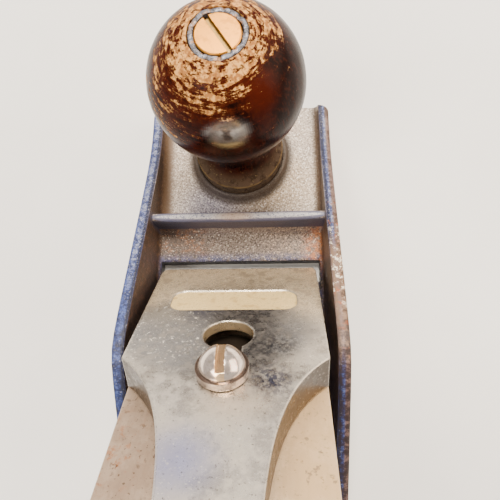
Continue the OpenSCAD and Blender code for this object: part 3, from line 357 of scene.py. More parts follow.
# %% Worn blue enamel on cast iron: the skin of the floor
japan, tree, shader = material("worn_blue_enamel_on_cast_iron")
skin = noise(tree, 0.55, detail=2.0, rough=0.8)        # the sand's pebbles
coarse = noise(tree, 1.9, detail=9.0, rough=0.75, shift=9.0)
dark_grain = to_mask(tree, skin, 0.49, 0.38)
light_grain = to_mask(tree, skin, 0.55, 0.66)
fleck = blotches(tree, 0.9, 0.60, 0.66, shift=3.0, detail=4.0, rough=0.8)
spark = to_mask(tree, skin, 0.62, 0.68)                # single grains rubbed bright
looks_up = facing(tree, upward, 0.35, 0.85)
looks_in = opposite(tree, looks_up)
pad = band(tree, toeward, 76.5, 74.5)                   # the raised floor by the mouth
floor_level = band(tree, upward, 7.5, 5.5)
# the foot of the walls, darkened with grime and painted shade
wall_root = both(tree, across(tree, 23.0, 25.8), band(tree, upward, 14.0, 8.0),
                 opposite(tree, pad))
# the walls of the mouth, the slot through the sole, painted near black: painted shade
painted_mouth_shade = both(tree, looks_in, band(tree, toeward, 65.2, 64.2), band(tree, toeward, 50.0, 53.0),
              band(tree, upward, 5.4, 4.7))

floor_coats = [
    ("#a58a6c", 0.30, blotches(tree, 16, 0.42, 0.62)),
    ("#8d7c6e", 0.40, to_mask(tree, coarse, 0.52, 0.64)),
    # a lilac cast left of the middle, and more wear on the right
    ("#a2a4c0", 0.65, near(tree, (-10, 82, 4), 2, 16)),
    ("#c9ae8a", 0.55, near(tree, (16, 92, 4), 4, 16)),
    ("#4f4641", 0.70, dark_grain), ("#fff6e8", 0.80, light_grain),
    ("#ffffff", 0.90, floor_level, spark),
    # a dark ring round the knob's foot: grime, and painted shade under the knob
    ("#392e28", 0.88, near(tree, (*knob_axis, 4), 17.4, 20.0)),
    # the floor by the mouth: browner, with blue left at its edge and rust at the right
    ("#65564d", 0.80, pad), ("#4d3c33", 0.80, pad, near(tree, (-24, 69, 5), 5, 19)),
    ("#a36a3c", 0.60, pad, near(tree, (-20, 71, 5), 3, 14), to_mask(tree, coarse, 0.50, 0.60)),
    ("#3f4a78", 0.75, band(tree, toeward, 67.2, 64.0), to_mask(tree, coarse, 0.36, 0.56)),
    ("#a8622b", 0.90, near(tree, (27.5, 68, 6), 2.5, 8.5, squash=(1.0, 0.7, 1.0)),
     blotches(tree, 1.6, 0.38, 0.56, detail=8.0)),
    ("#c58b52", 0.55, pad, near(tree, (16, 71, 5), 3, 14), light_grain),
    ("#241d1b", 0.85, pad, dark_grain), ("#e9ddcd", 0.80, pad, spark),
]
print("coats on the floor:", len(floor_coats))

# %% Walls, rims and rib
# the side walls stand between about 28 and 31.75 mm from the middle
rim = both(tree, across(tree, 28.0, 28.9), looks_up)
on_left = band(tree, left, 0.0, 2.0)
on_right = band(tree, rightward, 0.0, 2.0)
outer_stripe = both(tree, on_right, across(tree, 30.0, 30.7))
high_part = band(tree, toeward, 26.0, 34.0)             # ahead of the cheek's peak
wall_coats = [
    # gold-brown corner along the left wall, a narrow dark one along the right: grime, and
    # painted shade where the walls meet the floor
    ("#553c22", 0.95, wall_root, on_left), ("#4d3a2a", 0.85, wall_root, on_right,
                                            across(tree, 25.6, 27.4)),
    ("#43342c", 0.92, looks_in, across(tree, 27.2, 28.2)),
    ("#7a5b45", 0.60, looks_in, across(tree, 26.5, 27.6), to_mask(tree, coarse, 0.50, 0.60)),
    ("#a08873", 0.60, looks_in, across(tree, 26.5, 27.6), spark),
    ("#231d1c", 0.60, looks_in, across(tree, 26.5, 27.6), dark_grain),
    # the rib: blue and brown down its front, painted darker there as painted shade; worn silver
    # along its top with a painted highlight down the crest, and darker blue beside the crest as
    # painted shade of its rounding
    ("#3a4462", 0.85, looks_in, near(tree, (0, 76, 10), 28, 31, squash=(1, 4, 1))),
    ("#7d6a5c", 0.45, looks_in, near(tree, (0, 75, 9), 9, 22, squash=(1, 4, 1)), coarse),
    ("#5b6183", 0.80, near(tree, (0, 76.2, 15.8), 28, 29.5, squash=(1, 10, 10))),
    ("#c3c1c2", 0.85, near(tree, (0, 76.2, 16.2), 27, 28.5, squash=(1, 26, 14)),
     to_mask(tree, skin, 0.36, 0.52)),
    ("#b08f70", 0.60, near(tree, (-1, 76.2, 16.0), 2, 9, squash=(1, 4, 4))),
    # painted shade: the walls of the mouth near black
    ("#16131a", 0.95, painted_mouth_shade),
    # rims: blue enamel with white and brown flecks
    ("#3a4e92", 0.95, rim), ("#1b2140", 0.75, rim, to_mask(tree, coarse, 0.50, 0.40)),
    # grey stripe along the rims: worn enamel, and a painted highlight on their rounded tops
    ("#aeb0b4", 0.62, rim, band(tree, toeward, 44.0, 62.0), across(tree, 29.3, 29.9),
     across(tree, 31.4, 30.7), to_mask(tree, coarse, 0.44, 0.58)),
    ("#6f7fb0", 0.32, rim, to_mask(tree, coarse, 0.50, 0.64)),
    # painted shade: dark along the inner edge of the rims, where their tops round over
    ("#1d1c2b", 0.90, rim, across(tree, 29.9, 29.1)),
    ("#1b1c30", 0.70, rim, dark_grain), ("#d4d4d6", 0.45, rim, spark),
    ("#efe9df", 0.60, rim, fleck, band(tree, toeward, 44.0, 70.0)),
    # the left rim is painted darker where it comes down behind the peak
    ("#1c1e30", 0.70, rim, on_left, band(tree, toeward, 52.0, 36.0),
     to_mask(tree, coarse, 0.60, 0.44)),
    # the right rim is rubbed to tan metal, chipped white where it rises
    ("#7d604a", 0.85, rim, outer_stripe), ("#876b54", 0.85, rim, on_right, high_part,
                                           band(tree, toeward, 70.0, 60.0)),
    ("#3d2a20", 0.75, rim, outer_stripe, to_mask(tree, coarse, 0.52, 0.44)),
    ("#a85c35", 0.70, rim, on_right, high_part, blotches(tree, 2.0, 0.58, 0.66, shift=7.0),
     band(tree, toeward, 84.0, 76.0)),
    ("#fff4e2", 0.90, rim, on_right, band(tree, toeward, 40.0, 50.0),
     band(tree, toeward, 74.0, 64.0), to_mask(tree, coarse, 0.54, 0.59)),
    ("#2f2428", 0.80, rim, on_right, band(tree, toeward, 44.0, 34.0),
     to_mask(tree, coarse, 0.60, 0.48)),
]
print("coats on walls and rims:", len(wall_coats))

# %% Ground faces, gloss and relief
outside = both(tree, across(tree, 30.9, 31.4), looks_in)
under = facing(tree, (0, 0, -1), 0.8, 0.95)
ends = both(tree, looks_in, either(tree, band(tree, toeward, 118.5, 119.5),
                                   band(tree, toeward, -118.5, -119.5)))
bare = either(tree, either(tree, outside, under), ends)
# a grinding wheel leaves lines of a few hundredths of a millimetre; these are drawn 0.3 mm
# apart, so that they show
grinding = noise(tree, 0.3, stretch=(1.0, 0.015, 1.0), detail=3.0)
patina = blotches(tree, 14, 0.42, 0.66, detail=9.0, rough=0.6, shift=2.0)
bare_coats = [
    ("#b1a79c", 1.0, bare), ("#8c8278", 0.60, bare, to_mask(tree, grinding, 0.42, 0.60)),
    ("#85705d", 0.50, bare, patina), ("#7d4a26", 0.75, bare,
                                      blotches(tree, 5, 0.64, 0.70, detail=9.0, shift=6.0)),
]
coats(tree, shader, "#bdad9f", *floor_coats, *wall_coats, *bare_coats)
vary(tree, shader, "Metallic", 0.18, 0.85, bare)
vary(tree, shader, "Roughness", 0.28, 0.58, skin)
relief(tree, shader, [(skin, 0.10), (coarse, 0.16), (fleck, -0.05)], round_by=1.6)
print("material:", japan.name)

# %% [markdown]
# The lever cap is an iron casting that was ground, polished and nickel plated. The plating
# has gone dull: tan near the front, a slate-grey patch with dark pits round the screw, partly
# bloom and partly a painted reflection of the dark knob, and a grey neck with a lilac sheen.
# The shallow panel near the front is filled with cream paint.
# Nickel under a film of oxide is neither a clean metal nor a paint, so the shader sits
# between the two and its roughness changes with the film.

# %% Dulled nickel plate
nickel, tree, shader = material("dulled_nickel_plate")
haze = noise(tree, 9, detail=6.0)
film = noise(tree, 3.0, detail=9.0, rough=0.72, shift=4.0)
grit = noise(tree, 0.7, detail=5.0, rough=0.7, shift=2.0)      # coarser than real grit
pits = noise(tree, 1.3, detail=8.0, rough=0.75, shift=11.0)
front = either(tree, band(tree, up_bed, 26.0, 14.0, start=bed_foot_mm),
               both(tree, band(tree, up_bed, 44.0, 28.0, start=bed_foot_mm),
                    across(tree, 10.0, 17.0)))
crown = facing(tree, off_bed, 0.80, 0.93)
# slate grey round the screw: bloom, and a painted reflection of the dark knob
slate_and_reflection = both(tree, near(tree, on_bed_mm(-4, 42, 9), 16, 22, squash=(0.72, 1.0, 1.0)),
             crown)
lower = band(tree, up_bed, 76.0, 58.0, start=bed_foot_mm)
stains = [
    ("#8f857b", 0.6, to_mask(tree, haze, 0.46, 0.60)),
    ("#d6ccbf", 0.6, to_mask(tree, film, 0.48, 0.60)),
    ("#746b63", 0.45, to_mask(tree, film, 0.46, 0.38), lower),
    ("#cdbfac", 0.50, opposite(tree, lower), to_mask(tree, haze, 0.62, 0.44)),
    ("#f2dcb6", 0.85, front, crown),
    ("#7d6952", 0.50, front, to_mask(tree, film, 0.50, 0.57)),
    # the slate patch: bloom, and a painted reflection of the knob
    ("#5b5e64", 0.72, slate_and_reflection), ("#a39a90", 0.5, slate_and_reflection, to_mask(tree, film, 0.50, 0.58)),
    # darker bloom above the panel, and pitted patches beside and below the screw
    ("#544c46", 0.35, near(tree, on_bed_mm(2, 15, 9), 2, 15, squash=(0.6, 1.6, 1.6)),
     to_mask(tree, pits, 0.38, 0.56)),
    ("#20222c", 0.75, near(tree, on_bed_mm(13, 49, 10), 3.5, 8),
     to_mask(tree, pits, 0.44, 0.54)),
    ("#2b3352", 0.90, near(tree, on_bed_mm(11, 61.5, 10), 3.5, 8.5),
     to_mask(tree, pits, 0.44, 0.54)),
    ("#2c2e3c", 0.80, near(tree, on_bed_mm(0, 66, 10), 1, 6, squash=(0.7, 1.3, 1.3)),
     to_mask(tree, pits, 0.44, 0.54)),
    ("#33384e", 0.75, near(tree, on_bed_mm(-8, 31, 9), 2, 10),
     to_mask(tree, film, 0.44, 0.54)),
    ("#4a4540", 0.60, near(tree, on_bed_mm(2, 36, 9), 2, 12, squash=(0.7, 1.6, 1.6)),
     to_mask(tree, pits, 0.46, 0.54)),
    # the neck: grey, with a lilac sheen on its left
    ("#6d76ae", 0.60, near(tree, on_bed_mm(-7, 82, 12), 1, 12), crown),
    ("#d6c3aa", 0.65, near(tree, on_bed_mm(3, 68, 12), 2, 9, squash=(0.7, 1.2, 1.2))),
    # ground sides, browner than the face
    ("#2e2219", 0.90, opposite(tree, crown)),
    ("#f3ece0", 0.90, blotches(tree, 1.0, 0.61, 0.65, detail=5.0, shift=8.0),
     near(tree, on_bed_mm(-18, 42, 9), 8, 24)),
    ("#3a3029", 0.75, to_mask(tree, grit, 0.39, 0.34)),
    ("#e6dccd", 0.55, to_mask(tree, grit, 0.61, 0.66)),
]
print("stains on the lever cap:", len(stains))

# %% Panel paint, edges and gloss of the lever cap
def rounded_box(tree, middle_mm, half_x, half_up, radius):
    """1 inside a rounded rectangle drawn on the bed: the distance past its inner corner
    points, counted only outwards, is less than the radius."""
    off = []
    for direction, half in ((rightward, half_x), (up_bed, half_up)):
        where = add(tree, "ShaderNodeTexCoord")
        along = add(tree, "ShaderNodeVectorMath", {"operation": "DOT_PRODUCT", 1: direction},
                    {0: where.outputs["Object"]}).outputs["Value"]
        from_middle = add(tree, "ShaderNodeMath",
                          {"operation": "SUBTRACT", 1: float(np.dot(direction, middle_mm)) * MM},
                          {0: along}).outputs[0]
        side = add(tree, "ShaderNodeMath", {"operation": "ABSOLUTE"}, {0: from_middle})
        past = add(tree, "ShaderNodeMath", {"operation": "SUBTRACT", 1: (half - radius) * MM},
                   {0: side.outputs[0]})
        off.append(add(tree, "ShaderNodeMath", {"operation": "MAXIMUM", 1: 0.0},
                       {0: past.outputs[0]}).outputs[0])
    corner = add(tree, "ShaderNodeCombineXYZ", None, {0: off[0], 1: off[1]})
    far = add(tree, "ShaderNodeVectorMath", {"operation": "LENGTH"}, {0: corner.outputs[0]})
    return to_mask(tree, far.outputs["Value"], (radius + 0.05) * MM, (radius - 0.15) * MM)


keyhole_up = 44.3      # mm up the bed to the keyhole's wide end
panel = both(tree, crown, rounded_box(tree, on_bed_mm(0, 26.0, 9.0), half_x=18.4,
                                      half_up=5.8, radius=4.0))
# painted light: the keyhole's wall is near white, though it lies in shade
keyhole_wall = both(tree, opposite(tree, crown),
                    near(tree, on_bed_mm(0, keyhole_up, 9), 7.5, 8.5))
edge = rubbed_edges(tree, 0.8)
# the first coat is painted light on the keyhole's shaded wall
coats(tree, shader, "#bdb4a8", *stains, ("#ffe6bd", 0.95, keyhole_wall),
      ("#f1e8da", 0.75, edge, opposite(tree, panel)),
      # the panel's cream paint, yellowed in places and specked with dirt
      ("#f3d490", 0.95, panel),
      ("#b08d4f", 0.55, panel, to_mask(tree, film, 0.52, 0.62)),
      ("#594a3a", 0.60, panel, to_mask(tree, grit, 0.38, 0.33)))
metal = opposite(tree, either(tree, both(tree, front, 0.3), panel))
vary(tree, shader, "Metallic", 0.25, 0.88, metal)
vary(tree, shader, "Roughness", 0.24, 0.40, to_mask(tree, film, 0.40, 0.60))
relief(tree, shader, [(grit, 0.010), (film, 0.02)], round_by=0.8)
print("material:", nickel.name)

# %% [markdown]
# Cutter and cap iron are plates of rolled steel. Nothing protects them but oil, so a thin
# brown patina covers the grey, rolled lines run along the plate, and rust has eaten a few
# pits. The patina scatters light, which makes the steel look nearly matt.

# %% Patinated steel plate
blade, tree, shader = material("patinated_rolled_steel", Metallic=0.65)
rolled = noise(tree, 0.7, stretch=(1.0, 0.1, 0.1), detail=5.0)     # coarser than real ones
mottle = noise(tree, 1.4, detail=8.0, rough=0.75, shift=1.0)
cloud = blotches(tree, 7, 0.42, 0.60, detail=9.0, rough=0.7)
rust = blotches(tree, 1.5, 0.655, 0.70, shift=6.0, detail=6.0)
coats(tree, shader, "#cdb79f", ("#9a8672", 0.25, to_mask(tree, rolled, 0.45, 0.60)),
      ("#dcc4a8", 0.50, to_mask(tree, mottle, 0.53, 0.62)),
      # painted shade: the plates darken towards their left side
      ("#8d7158", 0.45, cloud), ("#8d7462", 0.50, band(tree, rightward, 8.0, -20.0)),
      ("#4a3524", 0.70, blotches(tree, 0.8, 0.62, 0.67, shift=12.0)), ("#55331d", 0.85, rust),
      # painted light: the plates grow lighter and warmer towards their right side
      ("#f3cb92", 0.60, band(tree, rightward, 4.0, 20.0)),
      ("#6b5543", 0.55, blotches(tree, 2.6, 0.60, 0.67, shift=15.0, detail=8.0)),
      ("#a5632f", 0.60, near(tree, on_bed_mm(-28, 74, 3), 3, 17),
       blotches(tree, 1.8, 0.54, 0.64, shift=9.0, detail=7.0)),
      ("#f0e4d2", 0.7, rubbed_edges(tree, 0.4)),
      # old oil and dust pack the mouth, painted near black with the shade there too; the hollow
      # under the keyhole is painted near black as painted shade
      ("#0f0c0a", 0.97, band(tree, up_bed, 3.6, 2.8, start=bed_foot_mm)),
      # painted shade: the hollow under the keyhole, near black
      ("#17110d", 0.95, near(tree, on_bed_mm(0, keyhole_up, 5.5), 9, 10.5)))
vary(tree, shader, "Roughness", 0.40, 0.62, mottle)
relief(tree, shader, [(mottle, 0.05), (rolled, 0.005), (rust, -0.10)], round_by=0.3)
print("material:", blade.name)

# %% [markdown]
# The nuts are brass, the pale kind that hands keep clean; dirt stays in the slot and round
# the rim. The small screws and pins are steel that was blackened and has rubbed grey, and
# the lever cap screw has a polished nickel head.

# %% Brass and small steel
brass, tree, shader = material("handled_brass", Metallic=0.95)
film = noise(tree, 2.0, detail=8.0, rough=0.7)
coats(tree, shader, "#d08f3c", ("#a97130", 0.6, to_mask(tree, film, 0.50, 0.62)),
      # dirt in the slot of the knob's nut
      ("#8f7646", 0.90, near(tree, (*knob_axis, 69.8), 7, 8),
       band(tree, upward, 70.95, 70.6)),
      ("#8a6a3f", 0.8, to_mask(tree, film, 0.40, 0.30)))
vary(tree, shader, "Roughness", 0.28, 0.46, film)
relief(tree, shader, [(film, 0.03)], round_by=0.25)

steel, tree, shader = material("blackened_machine_steel", Metallic=0.7)
film = noise(tree, 1.4, detail=6.0)
coats(tree, shader, "#6a625a", ("#a59c90", 0.7, to_mask(tree, film, 0.50, 0.62)),
      ("#5c3d27", 0.6, to_mask(tree, film, 0.38, 0.32)),
      ("#c4bbae", 0.8, rubbed_edges(tree, 0.3)))
vary(tree, shader, "Roughness", 0.34, 0.55, film)
relief(tree, shader, [(film, 0.05)], round_by=0.2)

bright, tree, shader = material("polished_nickel_screw", Metallic=0.85)
film = noise(tree, 2.4, detail=3.0)
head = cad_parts["lever_cap_screw"]
corners_m = np.array([head.matrix_world @ v.co for v in head.data.vertices])
dome_top = (corners_m @ np.array(off_bed)).max() / MM      # mm along off_bed
dome_high = 4.5                                            # mm above the flat collar
collar_top = dome_top - dome_high
# the slot for the screwdriver, painted pale as painted light on its shaded floor, and a
# dark line where the dome meets the collar
driver_cut = both(tree, across(tree, 1.12, 1.06), band(tree, off_bed, collar_top + 0.2,
                                                        collar_top + 0.4))
dome_foot = both(tree, band(tree, off_bed, collar_top - 0.10, collar_top - 0.02),
                 band(tree, off_bed, collar_top + 0.55, collar_top + 0.2))
coats(tree, shader, "#e6d6ca", ("#b09a8c", 0.5, to_mask(tree, film, 0.46, 0.62)),
      ("#5a463a", 0.85, dome_foot), ("#4d4038", 0.8, blotches(tree, 0.8, 0.64, 0.68, shift=5.0)),
      # painted light: the pale slot
      ("#ffdcae", 0.95, driver_cut))
vary(tree, shader, "Roughness", 0.12, 0.24, film)
relief(tree, shader, [(film, 0.003)], round_by=0.2)
print("materials:", brass.name, steel.name, bright.name)

# %% [markdown]
# The knob and the handle are beech under dark red varnish. The knob is turned on a lathe: a
# ball over a hollow neck, on a foot that stands in a cast ring. A turned piece is one curve
# carried round an axis, so the curve is worked out first, as points of distance from the
# axis and height in mm, and numpy turns it into a closed skin.

# %% Grids into pieces
def make_piece(name, points_mm, faces, finish):
    """Smooth mesh object from an array of points in mm and an array of faces."""
    mesh = bpy.data.meshes.new(name)
    mesh.from_pydata((np.asarray(points_mm, float) * MM).tolist(), [],
                     [tuple(face) for face in faces.tolist()])
    mesh.polygons.foreach_set("use_smooth", np.ones(len(mesh.polygons), bool))
    mesh.materials.append(finish)
    mesh.update()
    piece = bpy.data.objects.new(name, mesh)
    bpy.context.scene.collection.objects.link(piece)
    return piece


def grid_faces(rows, columns):
    """Four-sided faces between neighbours of a grid: corner (i, j) has number i * columns +
    j. Columns run round and close on themselves, and so do the rows of the outline."""
    i = np.arange(rows)[:, None]
    j = np.arange(columns)[None, :]
    below, beside = (i + 1) % rows, (j + 1) % columns
    corners = (i * columns + j, below * columns + j,
               below * columns + beside, i * columns + beside)
    return np.stack(corners, axis=-1).reshape(-1, 4)


def turned(outline, axis, around, wobble, widest=1e3):
    """Points of a closed outline carried round an upright axis: across is the radius times
    the cosine of the angle, along is the radius times its sine. Hand-worn pieces get a
    wobble: waves of 3, 7 and 19 crests round the axis, each twisted by the height, are
    added to the radius. The sum never passes `widest`."""
    angle = np.linspace(0, 2 * np.pi, around, endpoint=False)[None, :]
    radius, height = outline[:, :1], outline[:, 1:]
    waves = np.sin(3 * angle + 1.3) * np.sin(height / 5) + 0.6 * np.sin(
        7 * angle + height / 2.3) + 0.4 * np.sin(19 * angle - height / 1.1)
    r = np.minimum(radius + wobble * waves, widest)
    return np.stack([axis[0] + r * np.cos(angle), axis[1] + r * np.sin(angle),
                     height + 0 * angle], axis=-1).reshape(-1, 3)


def straight(corners, step=0.6):
    """Points along straight runs through the corners, about `step` mm apart."""
    runs = [np.linspace(a, b, 2 + int(np.hypot(b[0] - a[0], b[1] - a[1]) / step))[:-1]
            for a, b in zip(corners[:-1], corners[1:])]
    return np.vstack(runs + [np.array(corners[-1:], float)])


print("grid helpers ready")

# %% Outline of the knob
ball_r, ball_z = 21.5, 50.9
cove_r, cove_x, cove_z = 20.0, 31.0, 23.31   # circle that hollows the neck
seat_r, seat_z = 7.5, 67.7                   # the metal ring sits in here
seat_top = ball_z + np.sqrt(ball_r ** 2 - seat_r ** 2)
foot_r, foot_z = 15.1, 4.05
nut_r, rod_r, boss_r = 4.1, 3.3, 6.3         # holes for the nut, the rod and the cast boss
nut_z, boss_z = 50.7, 10.6                   # the rod's hole lies between these heights

# the ball's circle meets the hollow's where the line between their centres crosses both
low = np.arctan2(cove_z - ball_z, cove_x)
ball = np.linspace(np.arcsin((seat_top - ball_z) / ball_r), low, 120)
hollow = np.linspace(np.pi + low, np.pi + 0.640, 50)
# from the seat out over the ball, down the hollow to the foot, and back up the holes
knob_outline = np.vstack([
    straight([(nut_r, seat_z), (seat_r, seat_z), (seat_r, seat_top - 0.3)]),
    np.c_[ball_r * np.cos(ball), ball_z + ball_r * np.sin(ball)],
    np.c_[cove_x + cove_r * np.cos(hollow), cove_z + cove_r * np.sin(hollow)][1:],
    straight([(15.07, 11.25), (foot_r, 11.0), (foot_r, 4.3), (14.9, foot_z),
              (boss_r, foot_z), (boss_r, boss_z), (rod_r, boss_z), (rod_r, nut_z),
              (nut_r, nut_z), (nut_r, seat_z - 0.3)]),
])
knob_around = 220
knob_points = turned(knob_outline, knob_axis, knob_around, wobble=0.035,
                     widest=ball_r - 0.005)
print("knob rows:", len(knob_outline), "highest mm:", round(knob_points[:, 2].max(), 2))

# %% [markdown]
# The varnish is nearly black where it is thick and glows red where it has thinned. Palms
# wore it through on the top and down the left, in chips that follow the turning marks
# round the axis and the upright fibres of the wood. For the turning marks the knob carries
# its own coordinates, named lathe: the angle is wrapped on a narrow cylinder, so a pattern
# stretches round the axis without a seam, and the third number is the way along the curve.

# %% Varnish over beech
def chipped_varnish(tree, wear, chip_noise, fibre):
    """Coats of one varnished wood: fibres of pale beech, and dark red varnish wherever
    `wear` has not broken through."""
    bare_wood = worn_through(tree, wear, chip_noise, least=0.365, most=0.525, soft=0.015)
    thin = worn_through(tree, wear, chip_noise, least=0.41, most=0.60, soft=0.05)
    layers = [
        ("#30100a", 0.85, blotches(tree, 9, 0.44, 0.62, shift=4.0)),
        ("#4d1d0d", 0.70, thin), ("#a06d3c", 1.0, bare_wood),
        ("#e0a864", 0.80, bare_wood, to_mask(tree, fibre, 0.46, 0.58)),
        ("#83552f", 0.70, bare_wood, to_mask(tree, fibre, 0.44, 0.34)),
    ]
    return bare_wood, layers


varnish, tree, shader = material("worn_varnish_on_turned_beech", Specular_IOR_Level=0.04)
lathe = add(tree, "ShaderNodeAttribute", {"attribute_name": "lathe"}).outputs["Vector"]
rings = noise(tree, 1.1, detail=9.0, rough=0.72, where=lathe)
flakes = noise(tree, 1.9, detail=10.0, rough=0.74, stretch=(1.0, 1.0, 0.75))
# the flecks of beech are about 0.1 mm wide and 1 to 2 mm long; drawn wider, so that they show
fibre = noise(tree, 0.9, stretch=(1.0, 1.0, 0.14), detail=5.0, shift=6.0)
# how well the coat holds: a little more by the turning marks than by the flakes
hold = add(tree, "ShaderNodeMix", {0: 0.55}, {2: flakes, 3: rings}).outputs[0]
# worn on the top and in two patches towards the heel; one patch on the right is spared
palm = either(tree, band(tree, upward, 60.0, 70.5),
              both(tree, near(tree, (-4, 91, 68), 4, 15), 0.85))
palm = either(tree, palm, both(tree, near(tree, (-15, 94, 60), 6, 20), 0.62))
spared = opposite(tree, both(tree, near(tree, (16, 93, 62), 5, 13), 0.80))
bare_wood, layers = chipped_varnish(tree, both(tree, palm, spared), hold, fibre)
foot_line = both(tree, band(tree, upward, 10.7, 11.0), band(tree, upward, 11.7, 11.4))
coats(tree, shader, "#120504", *layers,
      # whole varnish: thick on the right, faint fibres in it, and a painted red highlight by the
      # top
      ("#150806", 0.85, near(tree, (18, 98, 58), 7, 15), opposite(tree, bare_wood)),
      ("#341509", 0.55, to_mask(tree, fibre, 0.50, 0.62), opposite(tree, bare_wood)),
      # painted highlight: a red glow on the varnish near the top
      ("#3f1409", 0.80, near(tree, (9.5, 91, 65), 1, 7.5), opposite(tree, bare_wood)),
      # grey dirt on the neck and foot, where the varnish has perished
      ("#5a4b3e", 0.85, band(tree, upward, 18.5, 11.8)),
      ("#2c231d", 0.70, band(tree, upward, 24.0, 13.0), to_mask(tree, flakes, 0.50, 0.40)),
      ("#a08a60", 0.40, band(tree, upward, 24.0, 12.0), blotches(tree, 0.9, 0.60, 0.70)),
      ("#8a7044", 0.42, foot_line, to_mask(tree, rings, 0.40, 0.55)))
vary(tree, shader, "Roughness", 0.24, 0.65, bare_wood)
relief(tree, shader, [(bare_wood, -0.16), (fibre, 0.04), (rings, 0.03)])
print("material:", varnish.name)

# %% [markdown]
# The handle is sawn from a board and shaped by hand, so its fibres run along the plane. The
# web of the hand wears the hollow below the horn, fingers wear the front of the grip, and
# every edge is rubbed. It could be rounded with more faces, but rounding the normals over
# 2.5 mm gives the look that a rasp and sandpaper leave, and keeps the CAD shape.

# %% Varnish on the handle
grip_varnish, tree, shader = material("worn_varnish_on_shaped_beech",
                                      Specular_IOR_Level=0.25)
flakes = noise(tree, 2.2, detail=10.0, rough=0.74, stretch=(1.0, 0.45, 1.0), shift=5.0)
fibre = noise(tree, 0.9, stretch=(1.0, 0.1, 1.0), detail=5.0, shift=2.0)
# the hollow below the horn, the front of the grip, and every edge
worn = either(tree, both(tree, near(tree, (0, -96, 80), 4, 22), 0.62),
              both(tree, near(tree, (0, -60, 52), 3, 20), 0.50))
worn = either(tree, worn, both(tree, rubbed_edges(tree, 2.0, low=0.80, high=0.97), 0.85))
bare_wood, layers = chipped_varnish(tree, worn, flakes, fibre)
coats(tree, shader, "#1a0906", *layers,
      ("#1d1612", 0.70, band(tree, upward, 12.0, 5.0), to_mask(tree, flakes, 0.40, 0.56)))
vary(tree, shader, "Roughness", 0.30, 0.62, bare_wood)
relief(tree, shader, [(bare_wood, -0.12), (fibre, 0.03)], round_by=2.5)
print("material:", grip_varnish.name)

# %% The knob, with its lathe coordinates
knob = make_piece("turned_knob", knob_points, grid_faces(len(knob_outline), knob_around),
                  varnish)
way = np.concatenate([[0], np.cumsum(np.hypot(*np.diff(knob_outline, axis=0).T))])
angle = np.linspace(0, 2 * np.pi, knob_around, endpoint=False)[None, :]
wrap_r = 3.0      # mm: a cylinder this narrow draws the marks out round the axis
lathe_mm = np.stack([wrap_r * np.cos(angle) + 0 * way[:, None],
                     wrap_r * np.sin(angle) + 0 * way[:, None],
                     way[:, None] + 0 * angle], axis=-1)
marks = knob.data.attributes.new("lathe", "FLOAT_VECTOR", "POINT")
marks.data.foreach_set("vector", (lathe_mm * MM).astype(np.float32).ravel())
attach(knob, "body_casting")
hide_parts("knob")
print("knob faces:", len(knob.data.polygons))

# %% [markdown]
# Most of the knob's varnish has gone dull. A patch on the side towards the heel is kept
# polished by fingers, so it mirrors the lever cap. Gloss can't follow a mask here, because
# a coat's weight is a plain number, so the faces of the patch get copies of the varnish,
# glossier step by step towards the middle. The patch is an ellipse drawn on the ball round
# the direction `heart`: a face lies inside a step when its distance from the middle,
# counted in half widths, is less than the step's reach.

# %% The polished patch
heart, beside = np.array([0.07, -0.92, 0.38]), np.array([0.997, 0.07, 0.0])
above = np.cross(beside, heart)
half_wide, half_high = 0.21, 0.17      # of the ball's radius
around_ball = knob_points[grid_faces(len(knob_outline), knob_around)].mean(axis=1)
around_ball = around_ball - np.array([*knob_axis, ball_z])
far = np.linalg.norm(around_ball, axis=1)
wide = around_ball @ beside / far / half_wide
high = around_ball @ above / far / half_high
bearing = np.arctan2(high, wide)
spread = np.hypot(wide, high) * (1 + 0.04 * np.sin(3 * bearing + 1))   # slightly uneven
out_of_reach = 9.0      # for faces inside the knob and on the side away from the heart
spread[(far < ball_r - 1.0) | (around_ball @ heart < 0)] = out_of_reach
# each step: reach in half widths, specular level, coat weight
polish_steps = ((1.45, 0.15, 0.0), (1.34, 0.3, 0.05), (1.23, 0.5, 0.2), (1.12, 0.8, 0.5),
                (1.0, 1.0, 1.0))
sheen = np.zeros(len(spread), np.int32)
for step, (reach, level, coat) in enumerate(polish_steps, start=1):
    rubbed = varnish.copy()
    rubbed.name = "hand_polished_varnish_" + str(step)
    inputs = rubbed.node_tree.nodes["Principled BSDF"].inputs
    inputs["Specular IOR Level"].default_value = level
    inputs["Coat Weight"].default_value = coat
    inputs["Coat Roughness"].default_value = 0.12
    inputs["Coat IOR"].default_value = 1.7      # hard old resin, waxed by the hand
    knob.data.materials.append(rubbed)
    sheen[spread < reach] = step
knob.data.polygons.foreach_set("material_index", sheen)
print("faces in each finish:", np.bincount(sheen).tolist())

# %% [markdown]
# A grey iron ring lines the hole in the knob's top, and years of screwdrivers and pockets
# have hammered it ragged. It is a turned piece too, with more wobble than the knob and a
# few dents. Its finish is soft grey metal, bright on the dents and dark in the pits.

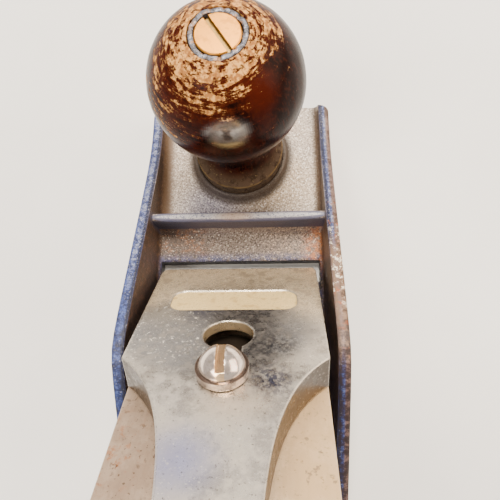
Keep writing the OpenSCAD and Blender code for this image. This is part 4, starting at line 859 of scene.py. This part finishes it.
# %% Ragged ring round the knob's nut
dull, tree, shader = material("hammered_grey_iron", Metallic=0.65)
film = noise(tree, 1.0, detail=7.0, rough=0.75)
coats(tree, shader, "#6b6c75", ("#b4b5c1", 0.8, to_mask(tree, film, 0.53, 0.60)),
      ("#3b322c", 0.90, to_mask(tree, film, 0.48, 0.41)),
      ("#c08f62", 0.5, blotches(tree, 2.2, 0.52, 0.62, shift=3.0)))
vary(tree, shader, "Roughness", 0.34, 0.60, film)
relief(tree, shader, [(film, 0.16)])

ring_outline = straight([(5.95, 70.2), (6.0, 71.0), (6.35, 71.15), (6.9, 71.1), (7.25, 70.95),
                         (7.35, 70.6), (7.35, 67.75), (4.15, 67.75), (4.15, 68.55),
                         (5.95, 68.6), (5.95, 69.8)], step=0.25)
ring_rows, ring_around = len(ring_outline), 180
ring_points = turned(ring_outline, knob_axis, ring_around, wobble=0.14)
ring_points = ring_points.reshape(ring_rows, ring_around, 3)
angle = np.linspace(0, 2 * np.pi, ring_around, endpoint=False)
# dents: the rim's top sinks where a sum of fast waves is high, by `dent_depth` mm for 1
dent_depth = 0.16
dents = np.clip(np.sin(11 * angle) + np.sin(17 * angle + 2.0) + np.sin(29 * angle), 0, None)
on_rim = (ring_outline[:, 1] > 70.4)[:, None]
ring_points[:, :, 2] -= dent_depth * dents[None, :] * on_rim
ring = make_piece("ragged_ring", ring_points.reshape(-1, 3),
                  grid_faces(ring_rows, ring_around), dull)
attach(ring, "body_casting")
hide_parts("knob_washer")
print("ring faces:", len(ring.data.polygons))

# %% [markdown]
# Every CAD node keeps its shape and gets the finish of the real piece. The small screws and
# pins share one steel.

# %% Give the CAD nodes their finish
FINISH = {
    "body": japan, "frog": japan, "lever_cap": nickel, "cam_lever": nickel,
    "cutter": blade, "cap_iron": blade, "lever_cap_screw": bright,
    "depth_nut": brass, "knob_nut": brass, "tote_nut": brass,
    "knob": varnish, "tote": grip_varnish, "knob_washer": dull,
}
for name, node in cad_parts.items():
    node.data.materials.clear()
    node.data.materials.append(FINISH.get(name, steel))
print("finished nodes:", len(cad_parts))
